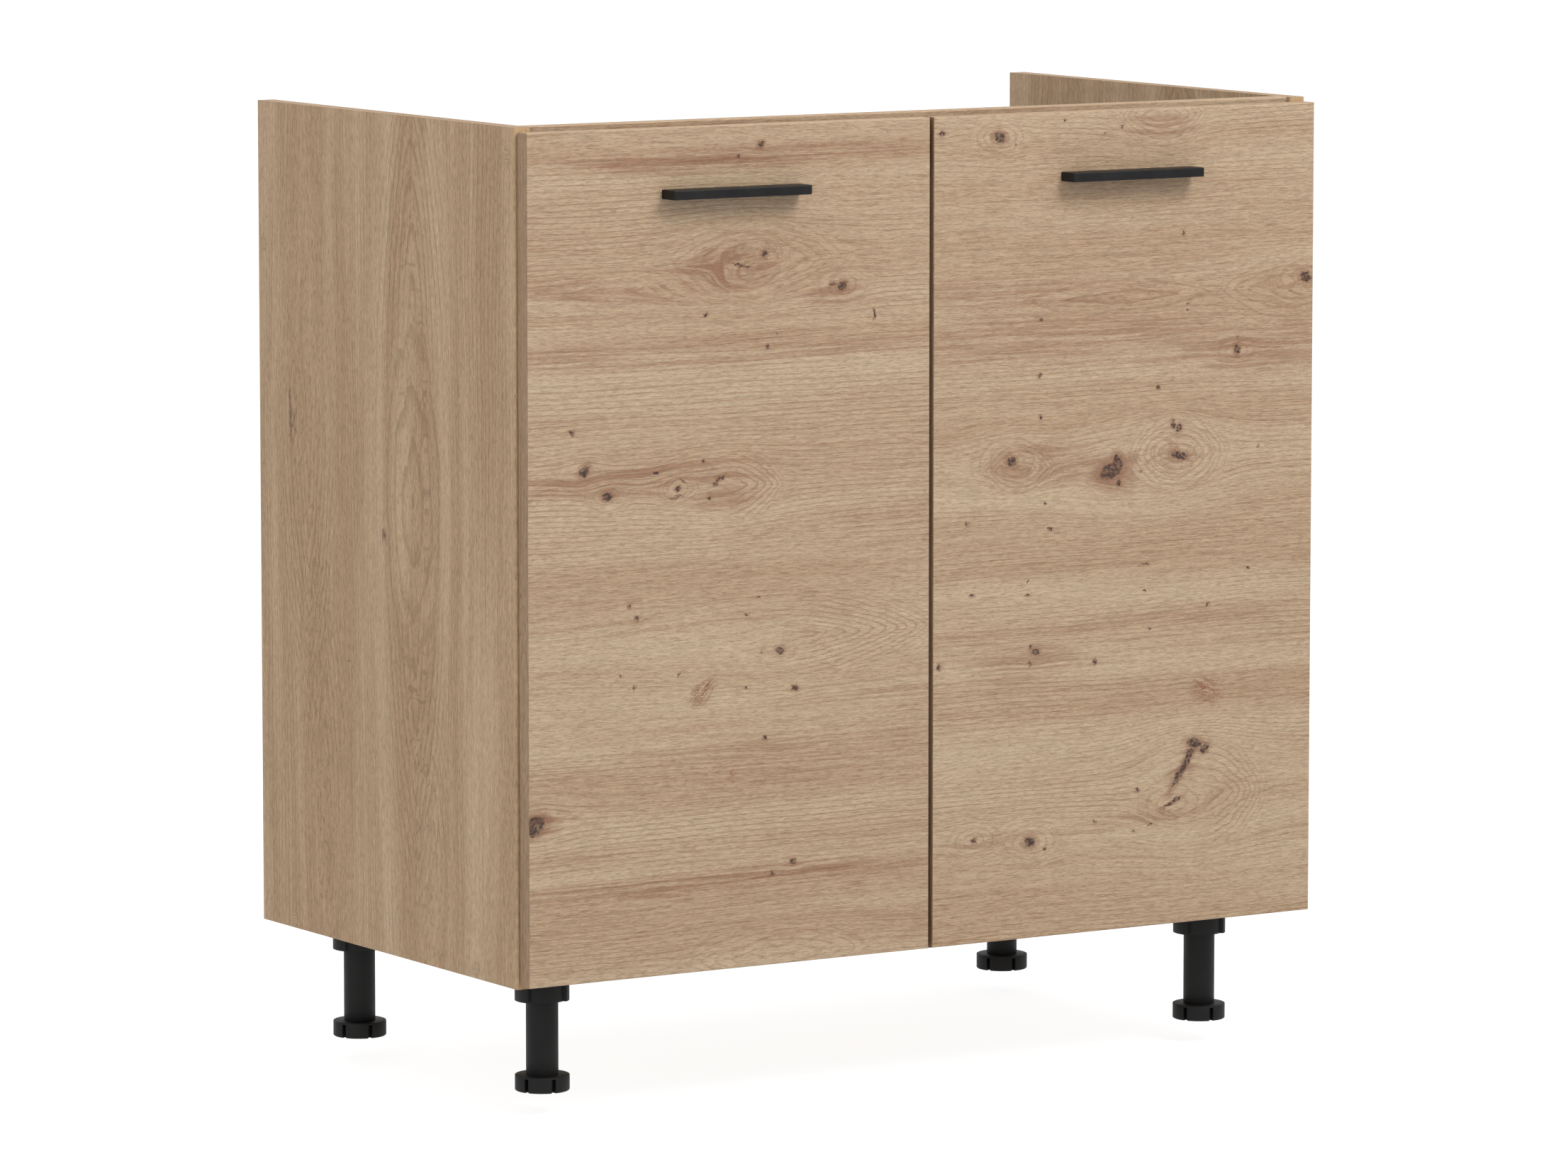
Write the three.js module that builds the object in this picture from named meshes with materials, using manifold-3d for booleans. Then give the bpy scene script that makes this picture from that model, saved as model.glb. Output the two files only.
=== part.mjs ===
// Sink base cabinet: a carcass with two rails and no top or back, two full overlay doors on
// concealed cup hinges, a bar handle on each door and four height-adjustable legs.
// Millimetres, +Z up. Seen from the front, +X is to the right, and the doors face -Y.
// The origin lies on the floor, in the middle of the outline box.
import * as THREE from 'three';
import { mergeVertices } from 'three/addons/utils/BufferGeometryUtils.js';
import Module from 'manifold-3d';

const wasm = await Module();
wasm.setup();

// ---------------------------------------------------------------- driving dimensions

// Carcass
const CABINET_WIDTH = 800;
const CARCASS_DEPTH = 442.5;
const CARCASS_HEIGHT = 720;
const BOARD = 16;
const EDGE_ROUND = 2;
const INNER_EDGE_ROUND = 1;
const RAIL_HEIGHT = 48.6;
const FRONT_RAIL_SETBACK = 4.7;
const REAR_RAIL_DROP = 100;

// Doors
const DOOR_BOARD = 16;
const DOOR_AIR = 1.5;
const DOOR_SIDE_REVEAL = 2;
const DOOR_MIDDLE_GAP = 4;
const DOOR_TOP_REVEAL = 4;
const DOOR_BOTTOM_REVEAL = 3;
const DOOR_EDGE_ROUND = 1;

// Handles
const HANDLE_LENGTH = 136;
const HANDLE_HEIGHT = 8;
const HANDLE_DEPTH = 20;
const HANDLE_TOP_DROP = 51;
const HANDLE_HOLE_SPACING = 128;
const HANDLE_PLATE = 2;
const HANDLE_LIP = 3.4;
const HANDLE_LEG_LENGTH = 10;
const HANDLE_CORNER = 2;
const HANDLE_EDGE_ROUND = 0.9;
const HANDLE_SCREW_RADIUS = 2;
const HANDLE_SCREW_DEPTH = 12;

// Joining screws of the carcass and the caps that hide them
const SCREW_SINK = 0.4;
const SCREW_LENGTH = 50;
const SCREW_HEAD_RADIUS = 5;
const SCREW_HEAD_RIM = 1;
const SCREW_HEAD_CONE = 2.5;
const SCREW_SHANK_RADIUS = 3.5;
const SCREW_SHANK_LENGTH = 11;
const SCREW_THREAD_RADIUS = 3.1;
const SCREW_TIP = 5;
const SCREW_KEY_RADIUS = 2.3;
const SCREW_KEY_DEPTH = 2.8;
const SCREW_FRONT_INSET = 68.7;
const SCREW_REAR_INSET = 55.8;
const CAP_RADIUS = 6.25;
const CAP_THICKNESS = 0.4;

// Legs
const LEG_HEIGHT = 100;
const LEG_SIDE_INSET = 62;
const LEG_FRONT_INSET = 64.8;
const LEG_REAR_INSET = 60.7;
const SOCKET_HEIGHT = 23;
const SOCKET_TOP = 3;
const SOCKET_LUG_RADIUS = 23.2;
const SOCKET_WAIST_RADIUS = 20.3;
const SOCKET_WAIST_ANGLE = 92;
const SOCKET_WAIST_TURN = 14;
const STEM_RADIUS = 13.75;
const STEM_EDGE_ROUND = 0.4;
const SPIGOT_RADIUS = 10;
const SPIGOT_LENGTH = 16;
const FOOT_RADIUS = 23.25;
const FOOT_HEIGHT = 13.5;
const FOOT_TOP_ROUND = 0.6;
const FOOT_BOTTOM_CHAMFER = 0.7;
const FOOT_SLOT_COUNT = 6;
const FOOT_SLOT_WIDTH = 3.8;
const FOOT_SLOT_DEPTH = 4.8;
const FOOT_SLOT_ROOF = 1.6;
const FOOT_SLOT_TURN = 5.5;
const SPINDLE_RADIUS = 5;
const SPINDLE_LENGTH = 50;
const SPINDLE_CHAMFER = 1;

// Concealed hinges. Pivots are given in the plane of motion with the door shut: the first
// number runs inwards from the outer face of the side, the second backwards from its front edge.
const HINGE_END_INSET = 100;
const OUTER_ARM_PIVOT = [33.0, 7.8];
const INNER_ARM_PIVOT = [34.5, -9.2];
const OUTER_CUP_PIVOT = [12.1, -3.3];
const INNER_CUP_PIVOT = [17.8, -5.3];
const PIVOT_PIN_RADIUS = 1.0;
const ARM_BARREL_RADIUS = 2.3;
const CUP_BARREL_RADIUS = 1.9;
const LINK_THICKNESS = 1.5;
const LINK_WIDTH = 9.2;
const OUTER_LINK_CUP_WIDTH = 18;
const INNER_LINK_CUP_WIDTH = 14;
const OPEN_PIN_LENGTH = 27;
const OUTER_LINK_BEND = [[17.5, -2.0], [23.0, -0.3], [28.5, 3.0]];
const INNER_LINK_BEND = [[22.5, -7.6], [28.5, -9.9]];

const CUP_EDGE_DISTANCE = 3;
const CUP_BORE_RADIUS = 17.5;
const CUP_WALL = 1;
const CUP_DEPTH = 12.5;
const CUP_FLOOR = 0.8;
const CUP_RIM = 0.8;
const CUP_RIM_RADIUS = 18.2;
const CUP_EAR_LENGTH = 60;
const CUP_EAR_WIDTH = 15;
const CUP_EAR_SHIFT = 5.5;
const CUP_SCREW_SPACING = 48;
const CUP_SCREW_HOLE_RADIUS = 2.2;
const CUP_BORE_SPARE = 0.3;

const ARM_GAUGE = 1.2;
const ARM_END = 66;
const ARM_BACK_HEIGHT = 28;
const ARM_NOSE_RADIUS = 2.5;
const ARM_NOSE_WEB_END = -2;
// Points that its two curved edges pass, counted from the outer arm pivot
const ARM_FLANK_POINTS = [[-8, 2], [-4, -5]];
const ARM_WEB_START = 1;
const ARM_WEB_SLOPE_RUN = 12;
const ARM_WEB_SLOPE_SWELL = 1;
const ARM_WEB_SLOPE_END = 37;

const PLATE_BASE = 2.5;
const PLATE_SCREW_LINE = 37;
const PLATE_WING_LENGTH = 52;
const PLATE_WING_WIDTH = 12;
const PLATE_WING_ROUND = 5;
const PLATE_SCREW_SPACING = 32;
const PLATE_SCREW_HOLE_RADIUS = 2.6;
const PLATE_SCREW_SINK_RADIUS = 4.4;
const PLATE_SCREW_SINK_DEPTH = 1;
const PLATE_RAIL_START = 22;
const PLATE_RAIL_END = 62;
const PLATE_RAIL_ROUND = 2;
const SLOT_ROUND_RADIUS = 2.2;
const ADJUST_SLOT_LINE = 52;
const ADJUST_SLOT_LENGTH = 9;
const SIDE_SCREW_LINE = 33;

// Clearance between a piece and the neighbour that it enters, turns on or rests beside
const FIT = 0.3;

// How far a cutting form runs on past the face that it opens
const OVERCUT = 1;

// Facets on a full turn of small, middle and large round forms, and the steps of other curves
const HEXAGON = 6;
const FACETS_SMALL = 8;
const FACETS_BARREL = 12;
const FACETS_MIDDLE = 18;
const FACETS_LARGE = 24;
const EDGE_STEPS = 2;
const STRIP_STEPS = 2;
const ARM_CURVE_STEPS = 6;

// ---------------------------------------------------------------- places worked out from them

const OVERALL_DEPTH = CARCASS_DEPTH + DOOR_AIR + DOOR_BOARD + HANDLE_DEPTH;
const BACK_Y = OVERALL_DEPTH / 2;
const FRONT_Y = BACK_Y - CARCASS_DEPTH;
const INNER_WIDTH = CABINET_WIDTH - 2 * BOARD;

const DOOR_WIDTH = (CABINET_WIDTH - 2 * DOOR_SIDE_REVEAL - DOOR_MIDDLE_GAP) / 2;
const DOOR_HEIGHT = CARCASS_HEIGHT - DOOR_TOP_REVEAL - DOOR_BOTTOM_REVEAL;
const DOOR_BASE = LEG_HEIGHT + DOOR_BOTTOM_REVEAL;
const DOOR_MIDDLE = DOOR_SIDE_REVEAL + DOOR_WIDTH / 2;
const HINGE_HEIGHTS = [DOOR_BASE + HINGE_END_INSET, DOOR_BASE + DOOR_HEIGHT - HINGE_END_INSET];

const CUP_CENTRE = DOOR_SIDE_REVEAL + CUP_EDGE_DISTANCE + CUP_BORE_RADIUS;
const CUP_RADIUS = CUP_BORE_RADIUS - FIT;
const ARM_INNER_HALF = LINK_WIDTH / 2 + FIT;
const ARM_OUTER_HALF = ARM_INNER_HALF + ARM_GAUGE;
const RAIL_HALF_WIDTH = ARM_INNER_HALF - FIT;
const ARM_WEB_INNER_HEIGHT = ARM_BACK_HEIGHT - ARM_GAUGE;
const ARM_FLANK_BASE = BOARD + PLATE_BASE + 2 * FIT;

const SCREW_PLACES = [
  { joint: 'front_rail', y: FRONT_RAIL_SETBACK + BOARD / 2, z: CARCASS_HEIGHT - RAIL_HEIGHT / 2 },
  {
    joint: 'rear_rail',
    y: CARCASS_DEPTH - BOARD / 2,
    z: CARCASS_HEIGHT - REAR_RAIL_DROP - RAIL_HEIGHT / 2,
  },
  { joint: 'bottom_front', y: SCREW_FRONT_INSET, z: BOARD / 2 },
  { joint: 'bottom_rear', y: CARCASS_DEPTH - SCREW_REAR_INSET, z: BOARD / 2 },
];

// ---------------------------------------------------------------- finishes

const FINISHES = {
  uprightOak: { color: 0xa78d70, roughness: 0.55, metalness: 0 },
  levelOak: { color: 0xc2a482, roughness: 0.5, metalness: 0 },
  blackMetal: { color: 0x2b2b2c, roughness: 0.45, metalness: 0.2 },
  blackPlastic: { color: 0x2a2a29, roughness: 0.6, metalness: 0 },
  nickel: { color: 0xb9bbbd, roughness: 0.3, metalness: 0.9 },
  zincSteel: { color: 0x9a9c9e, roughness: 0.4, metalness: 0.85 },
};

// ---------------------------------------------------------------- form helpers

function solidOf(geometry) {
  const bare = geometry.clone();
  bare.deleteAttribute('normal');
  bare.deleteAttribute('uv');
  const merged = mergeVertices(bare, 1e-4);
  return new wasm.Manifold(new wasm.Mesh({
    numProp: 3,
    vertProperties: merged.attributes.position.array,
    triVerts: Uint32Array.from(merged.index.array),
  }));
}

function geometryOf(solid) {
  const mesh = solid.getMesh();
  const indexed = new THREE.BufferGeometry();
  indexed.setAttribute('position', new THREE.BufferAttribute(mesh.vertProperties, 3));
  indexed.setIndex(new THREE.BufferAttribute(mesh.triVerts, 1));
  const flat = indexed.toNonIndexed();
  flat.computeVertexNormals();
  return flat;
}

function cut(body, ...tools) {
  return geometryOf(tools.reduce((rest, tool) => rest.subtract(solidOf(tool)), solidOf(body)));
}

function join(first, ...others) {
  return geometryOf(others.reduce((sum, other) => sum.add(solidOf(other)), solidOf(first)));
}

// The same form seen in a mirror across the plane x = 0, with its faces still pointing outwards
function mirrored(geometry) {
  const copy = geometry.index ? geometry.toNonIndexed() : geometry.clone();
  copy.scale(-1, 1, 1);
  const place = copy.attributes.position;
  const spare = new THREE.Vector3();
  const other = new THREE.Vector3();
  for (let corner = 0; corner < place.count; corner += 3) {
    spare.fromBufferAttribute(place, corner + 1);
    other.fromBufferAttribute(place, corner + 2);
    place.setXYZ(corner + 1, other.x, other.y, other.z);
    place.setXYZ(corner + 2, spare.x, spare.y, spare.z);
  }
  copy.computeVertexNormals();
  return copy;
}

const AXES = {
  x: [new THREE.Vector3(0, 1, 0), new THREE.Vector3(0, 0, 1), new THREE.Vector3(1, 0, 0)],
  y: [new THREE.Vector3(0, 0, 1), new THREE.Vector3(1, 0, 0), new THREE.Vector3(0, 1, 0)],
  z: [new THREE.Vector3(1, 0, 0), new THREE.Vector3(0, 1, 0), new THREE.Vector3(0, 0, 1)],
};

// Points of an arc, from one angle to another in degrees, both ends included
function arc(centre, radius, from, to, facets) {
  const steps = Math.max(1, Math.round(Math.abs(to - from) * facets / 360));
  const points = [];
  for (let step = 0; step <= steps; step += 1) {
    const angle = THREE.MathUtils.degToRad(from + (to - from) * step / steps);
    points.push([centre[0] + radius * Math.cos(angle), centre[1] + radius * Math.sin(angle)]);
  }
  return points;
}

function outline(points) {
  return new THREE.Shape(points.map(([x, y]) => new THREE.Vector2(x, y)));
}

// An outline drawn in the two axes that follow the named one, run along it from start to end.
// Along x it is drawn in (y, z), along y in (z, x) and along z in (x, y).
function prism(shape, axis, start, end) {
  const geometry = new THREE.ExtrudeGeometry(shape, { depth: end - start, bevelEnabled: false });
  geometry.translate(0, 0, start);
  return geometry.applyMatrix4(new THREE.Matrix4().makeBasis(...AXES[axis]));
}

// As prism, with the edges of both end faces rounded
function roundedPrism(shape, axis, start, end, round) {
  const geometry = new THREE.ExtrudeGeometry(shape, {
    depth: end - start - 2 * round,
    bevelEnabled: true,
    bevelThickness: round,
    bevelSize: round,
    bevelOffset: -round,
    bevelSegments: EDGE_STEPS,
  });
  geometry.translate(0, 0, start + round);
  return geometry.applyMatrix4(new THREE.Matrix4().makeBasis(...AXES[axis]));
}

function rectangle(low, high) {
  return outline([low, [high[0], low[1]], high, [low[0], high[1]]]);
}

// A rectangle with its own rounding at each corner, from the low corner counter-clockwise
function roundedRectangle(low, high, rounds, facets = FACETS_MIDDLE) {
  const corners = [
    { at: low, inward: [1, 1], from: 180 },
    { at: [high[0], low[1]], inward: [-1, 1], from: 270 },
    { at: high, inward: [-1, -1], from: 360 },
    { at: [low[0], high[1]], inward: [1, -1], from: 450 },
  ];
  return outline(corners.flatMap(({ at, inward, from }, number) => {
    const round = rounds[number];
    const centre = [at[0] + inward[0] * round, at[1] + inward[1] * round];
    return round === 0 ? [at] : arc(centre, round, from, from + 90, facets);
  }));
}

function disc(centre, radius, facets) {
  return outline(arc(centre, radius, 0, 360, facets).slice(1));
}

// A round bar or bore along the named axis through a centre given in the two axes after it
function rod(axis, centre, radius, start, end, facets = FACETS_SMALL) {
  return prism(disc(centre, radius, facets), axis, start, end);
}

function block(low, high) {
  return prism(rectangle([low[0], low[1]], [high[0], high[1]]), 'z', low[2], high[2]);
}

// A turned form about +Z from [radius, height] pairs
function turned(profile, facets) {
  const points = profile.map(([radius, height]) => new THREE.Vector2(radius, height));
  return new THREE.LatheGeometry(points, facets).rotateX(Math.PI / 2);
}

// A strip of even thickness along a smooth curve through the given points
function strip(points, thickness) {
  const curve = new THREE.SplineCurve(points.map(([x, y]) => new THREE.Vector2(x, y)));
  const steps = STRIP_STEPS * (points.length - 1);
  const left = [];
  const right = [];
  for (let step = 0; step <= steps; step += 1) {
    const at = curve.getPoint(step / steps);
    const along = curve.getTangent(step / steps);
    const across = new THREE.Vector2(-along.y, along.x).multiplyScalar(thickness / 2);
    left.push(at.clone().add(across));
    right.push(at.clone().sub(across));
  }
  return new THREE.Shape([...right, ...left.reverse()]);
}

// ---------------------------------------------------------------- the cabinet as a scene

const cabinet = new THREE.Group();

function place(name, geometry, finish, position = [0, 0, 0], parent = cabinet) {
  const mesh = new THREE.Mesh(geometry, new THREE.MeshStandardMaterial(FINISHES[finish]));
  mesh.name = name;
  mesh.position.set(...position);
  parent.add(mesh);
}

// Both hands of the cabinet: the plane of the side's outer face and the way inwards along X
const HANDS = [
  { hand: 'left', faceX: -CABINET_WIDTH / 2, inwards: 1 },
  { hand: 'right', faceX: CABINET_WIDTH / 2, inwards: -1 },
];

function forHand(geometry, inwards) {
  return inwards > 0 ? geometry : mirrored(geometry);
}

// ---------------------------------------------------------------- carcass

// Outline of the joining screw from the rim of its head to its tip, along +Z from the outer
// face of the side, or with some spare all round the outline of the bore that takes it
function screwProfile(spare) {
  const headEnd = SCREW_SINK + SCREW_HEAD_RIM;
  const shankEnd = SCREW_SINK + SCREW_SHANK_LENGTH + spare;
  return [
    [SCREW_HEAD_RADIUS + spare, headEnd],
    [SCREW_SHANK_RADIUS + spare, headEnd + SCREW_HEAD_CONE],
    [SCREW_SHANK_RADIUS + spare, shankEnd],
    [SCREW_THREAD_RADIUS + spare, shankEnd],
    [SCREW_THREAD_RADIUS + spare, SCREW_SINK + SCREW_LENGTH - SCREW_TIP],
    [0, SCREW_SINK + SCREW_LENGTH + 2 * spare],
  ];
}

// Lays a form that is drawn along +Z so that it points into the cabinet
function layInwards(geometry, inwards) {
  return geometry.rotateY(inwards * Math.PI / 2);
}

function joiningScrew() {
  const body = turned([
    [0, SCREW_SINK],
    [SCREW_HEAD_RADIUS, SCREW_SINK],
    ...screwProfile(0),
  ], FACETS_SMALL);
  return cut(body, rod('z', [0, 0], SCREW_KEY_RADIUS, 0, SCREW_SINK + SCREW_KEY_DEPTH, HEXAGON));
}

function screwBore() {
  return turned([
    [0, -BOARD],
    [SCREW_HEAD_RADIUS + FIT, -BOARD],
    ...screwProfile(FIT),
  ], FACETS_SMALL);
}

// Round cap with a sloping rim, from its outer face up to the face of the side at height zero
function screwCap() {
  return turned([
    [0, -CAP_THICKNESS],
    [CAP_RADIUS - CAP_THICKNESS, -CAP_THICKNESS],
    [CAP_RADIUS, 0],
    [0, 0],
  ], FACETS_MIDDLE);
}

function boresAt(places, faceX) {
  return places.map(({ y, z }) => layInwards(screwBore(), 1).translate(faceX, y, z));
}

// Side panel of the left hand: outer face at x = 0, front edge at y = 0, bottom edge at z = 0
function sidePanel() {
  const plan = roundedRectangle([0, 0], [BOARD, CARCASS_DEPTH], [EDGE_ROUND, INNER_EDGE_ROUND, 0, 0]);
  return cut(prism(plan, 'z', 0, CARCASS_HEIGHT), ...boresAt(SCREW_PLACES, 0));
}

// A board between the sides, bored at both ends for the joining screws. Its section is given
// in (y, z) and the screw places are measured from the front and bottom of the carcass.
function crossBoard(section, places) {
  const leftBores = boresAt(places, -CABINET_WIDTH / 2);
  const rightBores = leftBores.map((bore) => mirrored(bore));
  return cut(prism(section, 'x', -INNER_WIDTH / 2, INNER_WIDTH / 2), ...leftBores, ...rightBores);
}

function buildCarcass() {
  const carcass = new THREE.Group();
  carcass.position.set(0, FRONT_Y, LEG_HEIGHT);
  cabinet.add(carcass);

  HANDS.forEach(({ hand, faceX, inwards }) => {
    place(`${hand}_side`, forHand(sidePanel(), inwards), 'uprightOak', [faceX, 0, 0], carcass);
    SCREW_PLACES.forEach(({ joint, y, z }) => {
      const screw = layInwards(joiningScrew(), inwards);
      const cap = layInwards(screwCap(), inwards);
      place(`${hand}_${joint}_screw`, screw, 'zincSteel', [faceX, y, z], carcass);
      place(`${hand}_${joint}_cap`, cap, 'uprightOak', [faceX, y, z], carcass);
    });
  });

  const bottomSection = roundedRectangle([0, 0], [CARCASS_DEPTH, BOARD], [0, 0, 0, INNER_EDGE_ROUND]);
  const bottomPlaces = SCREW_PLACES.filter(({ joint }) => joint.startsWith('bottom'));
  place('bottom_panel', crossBoard(bottomSection, bottomPlaces), 'levelOak', [0, 0, 0], carcass);

  const rails = [
    { name: 'front_rail', front: FRONT_RAIL_SETBACK, top: CARCASS_HEIGHT },
    { name: 'rear_rail', front: CARCASS_DEPTH - BOARD, top: CARCASS_HEIGHT - REAR_RAIL_DROP },
  ];
  rails.forEach(({ name, front, top }) => {
    const rounds = [INNER_EDGE_ROUND, 0, 0, INNER_EDGE_ROUND];
    const section = roundedRectangle([front, top - RAIL_HEIGHT], [front + BOARD, top], rounds);
    const places = SCREW_PLACES.filter(({ joint }) => joint === name);
    place(name, crossBoard(section, places), 'levelOak', [0, 0, 0], carcass);
  });
}

// ---------------------------------------------------------------- legs

function legSocket() {
  const lugAngle = 180 - SOCKET_WAIST_ANGLE;
  const firstLug = -90 - SOCKET_WAIST_TURN + SOCKET_WAIST_ANGLE / 2;
  const plan = [0, 180].flatMap((turn) => {
    const from = firstLug + turn;
    return [
      ...arc([0, 0], SOCKET_LUG_RADIUS, from, from + lugAngle, FACETS_LARGE),
      ...arc([0, 0], SOCKET_WAIST_RADIUS, from + lugAngle, from + 180, FACETS_LARGE),
    ];
  });
  const body = prism(outline(plan), 'z', LEG_HEIGHT - SOCKET_HEIGHT, LEG_HEIGHT);
  const boreEnd = LEG_HEIGHT - SOCKET_TOP;
  return cut(body, rod('z', [0, 0], SPIGOT_RADIUS + FIT, 0, boreEnd, FACETS_MIDDLE));
}

function legStem() {
  const stemEnd = LEG_HEIGHT - SOCKET_HEIGHT;
  const spigotEnd = stemEnd + SPIGOT_LENGTH;
  const boreRadius = SPINDLE_RADIUS + FIT;
  const boreEnd = FOOT_HEIGHT + SPINDLE_LENGTH + FIT;
  return turned([
    [0, boreEnd],
    [boreRadius, boreEnd],
    [boreRadius, FOOT_HEIGHT],
    [STEM_RADIUS - STEM_EDGE_ROUND, FOOT_HEIGHT],
    [STEM_RADIUS, FOOT_HEIGHT + STEM_EDGE_ROUND],
    [STEM_RADIUS, stemEnd],
    [SPIGOT_RADIUS, stemEnd],
    [SPIGOT_RADIUS, spigotEnd],
    [0, spigotEnd],
  ], FACETS_MIDDLE);
}

function legFoot() {
  const spindleEnd = FOOT_HEIGHT + SPINDLE_LENGTH;
  const body = turned([
    [0, 0],
    [FOOT_RADIUS - FOOT_BOTTOM_CHAMFER, 0],
    [FOOT_RADIUS, FOOT_BOTTOM_CHAMFER],
    [FOOT_RADIUS, FOOT_HEIGHT - FOOT_TOP_ROUND],
    [FOOT_RADIUS - FOOT_TOP_ROUND, FOOT_HEIGHT],
    [SPINDLE_RADIUS, FOOT_HEIGHT],
    [SPINDLE_RADIUS, spindleEnd - SPINDLE_CHAMFER],
    [SPINDLE_RADIUS - SPINDLE_CHAMFER, spindleEnd],
    [0, spindleEnd],
  ], FACETS_LARGE);
  const slots = [];
  for (let number = 0; number < FOOT_SLOT_COUNT; number += 1) {
    const turn = FOOT_SLOT_TURN + number * 360 / FOOT_SLOT_COUNT;
    const slot = block(
      [-FOOT_SLOT_WIDTH / 2, -FOOT_RADIUS - OVERCUT, -OVERCUT],
      [FOOT_SLOT_WIDTH / 2, -FOOT_RADIUS + FOOT_SLOT_DEPTH, FOOT_HEIGHT - FOOT_SLOT_ROOF],
    );
    slots.push(slot.rotateZ(THREE.MathUtils.degToRad(-turn)));
  }
  return cut(body, ...slots);
}

function buildLegs() {
  const rows = [
    { row: 'front', y: FRONT_Y + LEG_FRONT_INSET },
    { row: 'rear', y: BACK_Y - LEG_REAR_INSET },
  ];
  rows.forEach(({ row, y }) => {
    HANDS.forEach(({ hand, faceX, inwards }) => {
      const position = [faceX + inwards * LEG_SIDE_INSET, y, 0];
      place(`${row}_${hand}_leg_socket`, legSocket(), 'blackPlastic', position);
      place(`${row}_${hand}_leg_stem`, legStem(), 'blackPlastic', position);
      place(`${row}_${hand}_leg_foot`, legFoot(), 'blackPlastic', position);
    });
  });
}

// ---------------------------------------------------------------- doors and handles

// Left door from the outer face of the side at x = 0 and the carcass front at y = 0
function doorPanel() {
  const low = [DOOR_BASE, DOOR_SIDE_REVEAL];
  const high = [DOOR_BASE + DOOR_HEIGHT, DOOR_SIDE_REVEAL + DOOR_WIDTH];
  const backFace = -DOOR_AIR;
  const frontFace = backFace - DOOR_BOARD;
  const body = roundedPrism(rectangle(low, high), 'y', frontFace, backFace, DOOR_EDGE_ROUND);
  const cupBoreEnd = backFace - CUP_DEPTH - CUP_BORE_SPARE;
  const cupBores = HINGE_HEIGHTS.map((height) => (
    rod('y', [height, CUP_CENTRE], CUP_BORE_RADIUS, cupBoreEnd, backFace + OVERCUT, FACETS_LARGE)
  ));
  const handleHeight = DOOR_BASE + DOOR_HEIGHT - HANDLE_TOP_DROP - HANDLE_HEIGHT / 2;
  const handleHoles = [-1, 1].map((end) => {
    const centre = [handleHeight, DOOR_MIDDLE + end * HANDLE_HOLE_SPACING / 2];
    return rod('y', centre, HANDLE_SCREW_RADIUS + FIT, frontFace - OVERCUT, backFace + OVERCUT);
  });
  return cut(body, ...cupBores, ...handleHoles);
}

// Handle standing out towards -Y from the plane y = 0, centred on x = 0, its top at z = 0
function barHandle() {
  const half = HANDLE_LENGTH / 2;
  const behind = 2 * HANDLE_EDGE_ROUND;
  const corners = [HANDLE_CORNER, HANDLE_CORNER, 0, 0];
  const plan = roundedRectangle([-half, -HANDLE_DEPTH], [half, behind], corners);
  const bar = roundedPrism(plan, 'z', -HANDLE_HEIGHT, 0, HANDLE_EDGE_ROUND);
  const doorSpace = block(
    [-half - OVERCUT, 0, -HANDLE_HEIGHT - OVERCUT],
    [half + OVERCUT, behind + OVERCUT, OVERCUT],
  );
  const gripHalf = half - HANDLE_LEG_LENGTH;
  const gripPlan = roundedRectangle(
    [-gripHalf, -HANDLE_DEPTH + HANDLE_LIP],
    [gripHalf, OVERCUT],
    [HANDLE_CORNER, HANDLE_CORNER, 0, 0],
  );
  const grip = prism(gripPlan, 'z', -HANDLE_HEIGHT - OVERCUT, -HANDLE_PLATE);
  const screwHoles = [-1, 1].map((end) => {
    const centre = [-HANDLE_HEIGHT / 2, end * HANDLE_HOLE_SPACING / 2];
    return rod('y', centre, HANDLE_SCREW_RADIUS, -HANDLE_SCREW_DEPTH, OVERCUT);
  });
  return cut(bar, doorSpace, grip, ...screwHoles);
}

function buildDoors() {
  const handleTop = DOOR_BASE + DOOR_HEIGHT - HANDLE_TOP_DROP;
  const doorFrontY = FRONT_Y - DOOR_AIR - DOOR_BOARD;
  HANDS.forEach(({ hand, faceX, inwards }) => {
    place(`${hand}_door`, forHand(doorPanel(), inwards), 'levelOak', [faceX, FRONT_Y, 0]);
    const handlePosition = [faceX + inwards * DOOR_MIDDLE, doorFrontY, handleTop];
    place(`${hand}_handle`, barHandle(), 'blackMetal', handlePosition);
  });
}

// ---------------------------------------------------------------- concealed cup hinges
// Each piece is drawn in the plane of motion (x inwards from the outer face of the side,
// y backwards from the carcass front), about the middle height z = 0 of its hinge.

function widthwise(shape, width) {
  return prism(shape, 'z', -width / 2, width / 2);
}

// A pin across the arm or the cup, the barrel of a link or the hole that turns on a pin
function crossRod(pivot, radius, width, facets = FACETS_SMALL) {
  return widthwise(disc(pivot, radius, facets), width);
}

function outerLink() {
  const bend = [OUTER_CUP_PIVOT, ...OUTER_LINK_BEND, OUTER_ARM_PIVOT];
  const body = join(
    widthwise(strip(bend, LINK_THICKNESS), LINK_WIDTH),
    crossRod(OUTER_ARM_PIVOT, ARM_BARREL_RADIUS, LINK_WIDTH, FACETS_BARREL),
    crossRod(OUTER_CUP_PIVOT, CUP_BARREL_RADIUS, OUTER_LINK_CUP_WIDTH, FACETS_BARREL),
  );
  const through = OUTER_LINK_CUP_WIDTH + 2 * OVERCUT;
  return cut(
    body,
    crossRod(OUTER_ARM_PIVOT, PIVOT_PIN_RADIUS + FIT, through),
    crossRod(OUTER_CUP_PIVOT, PIVOT_PIN_RADIUS + FIT, through),
  );
}

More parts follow.
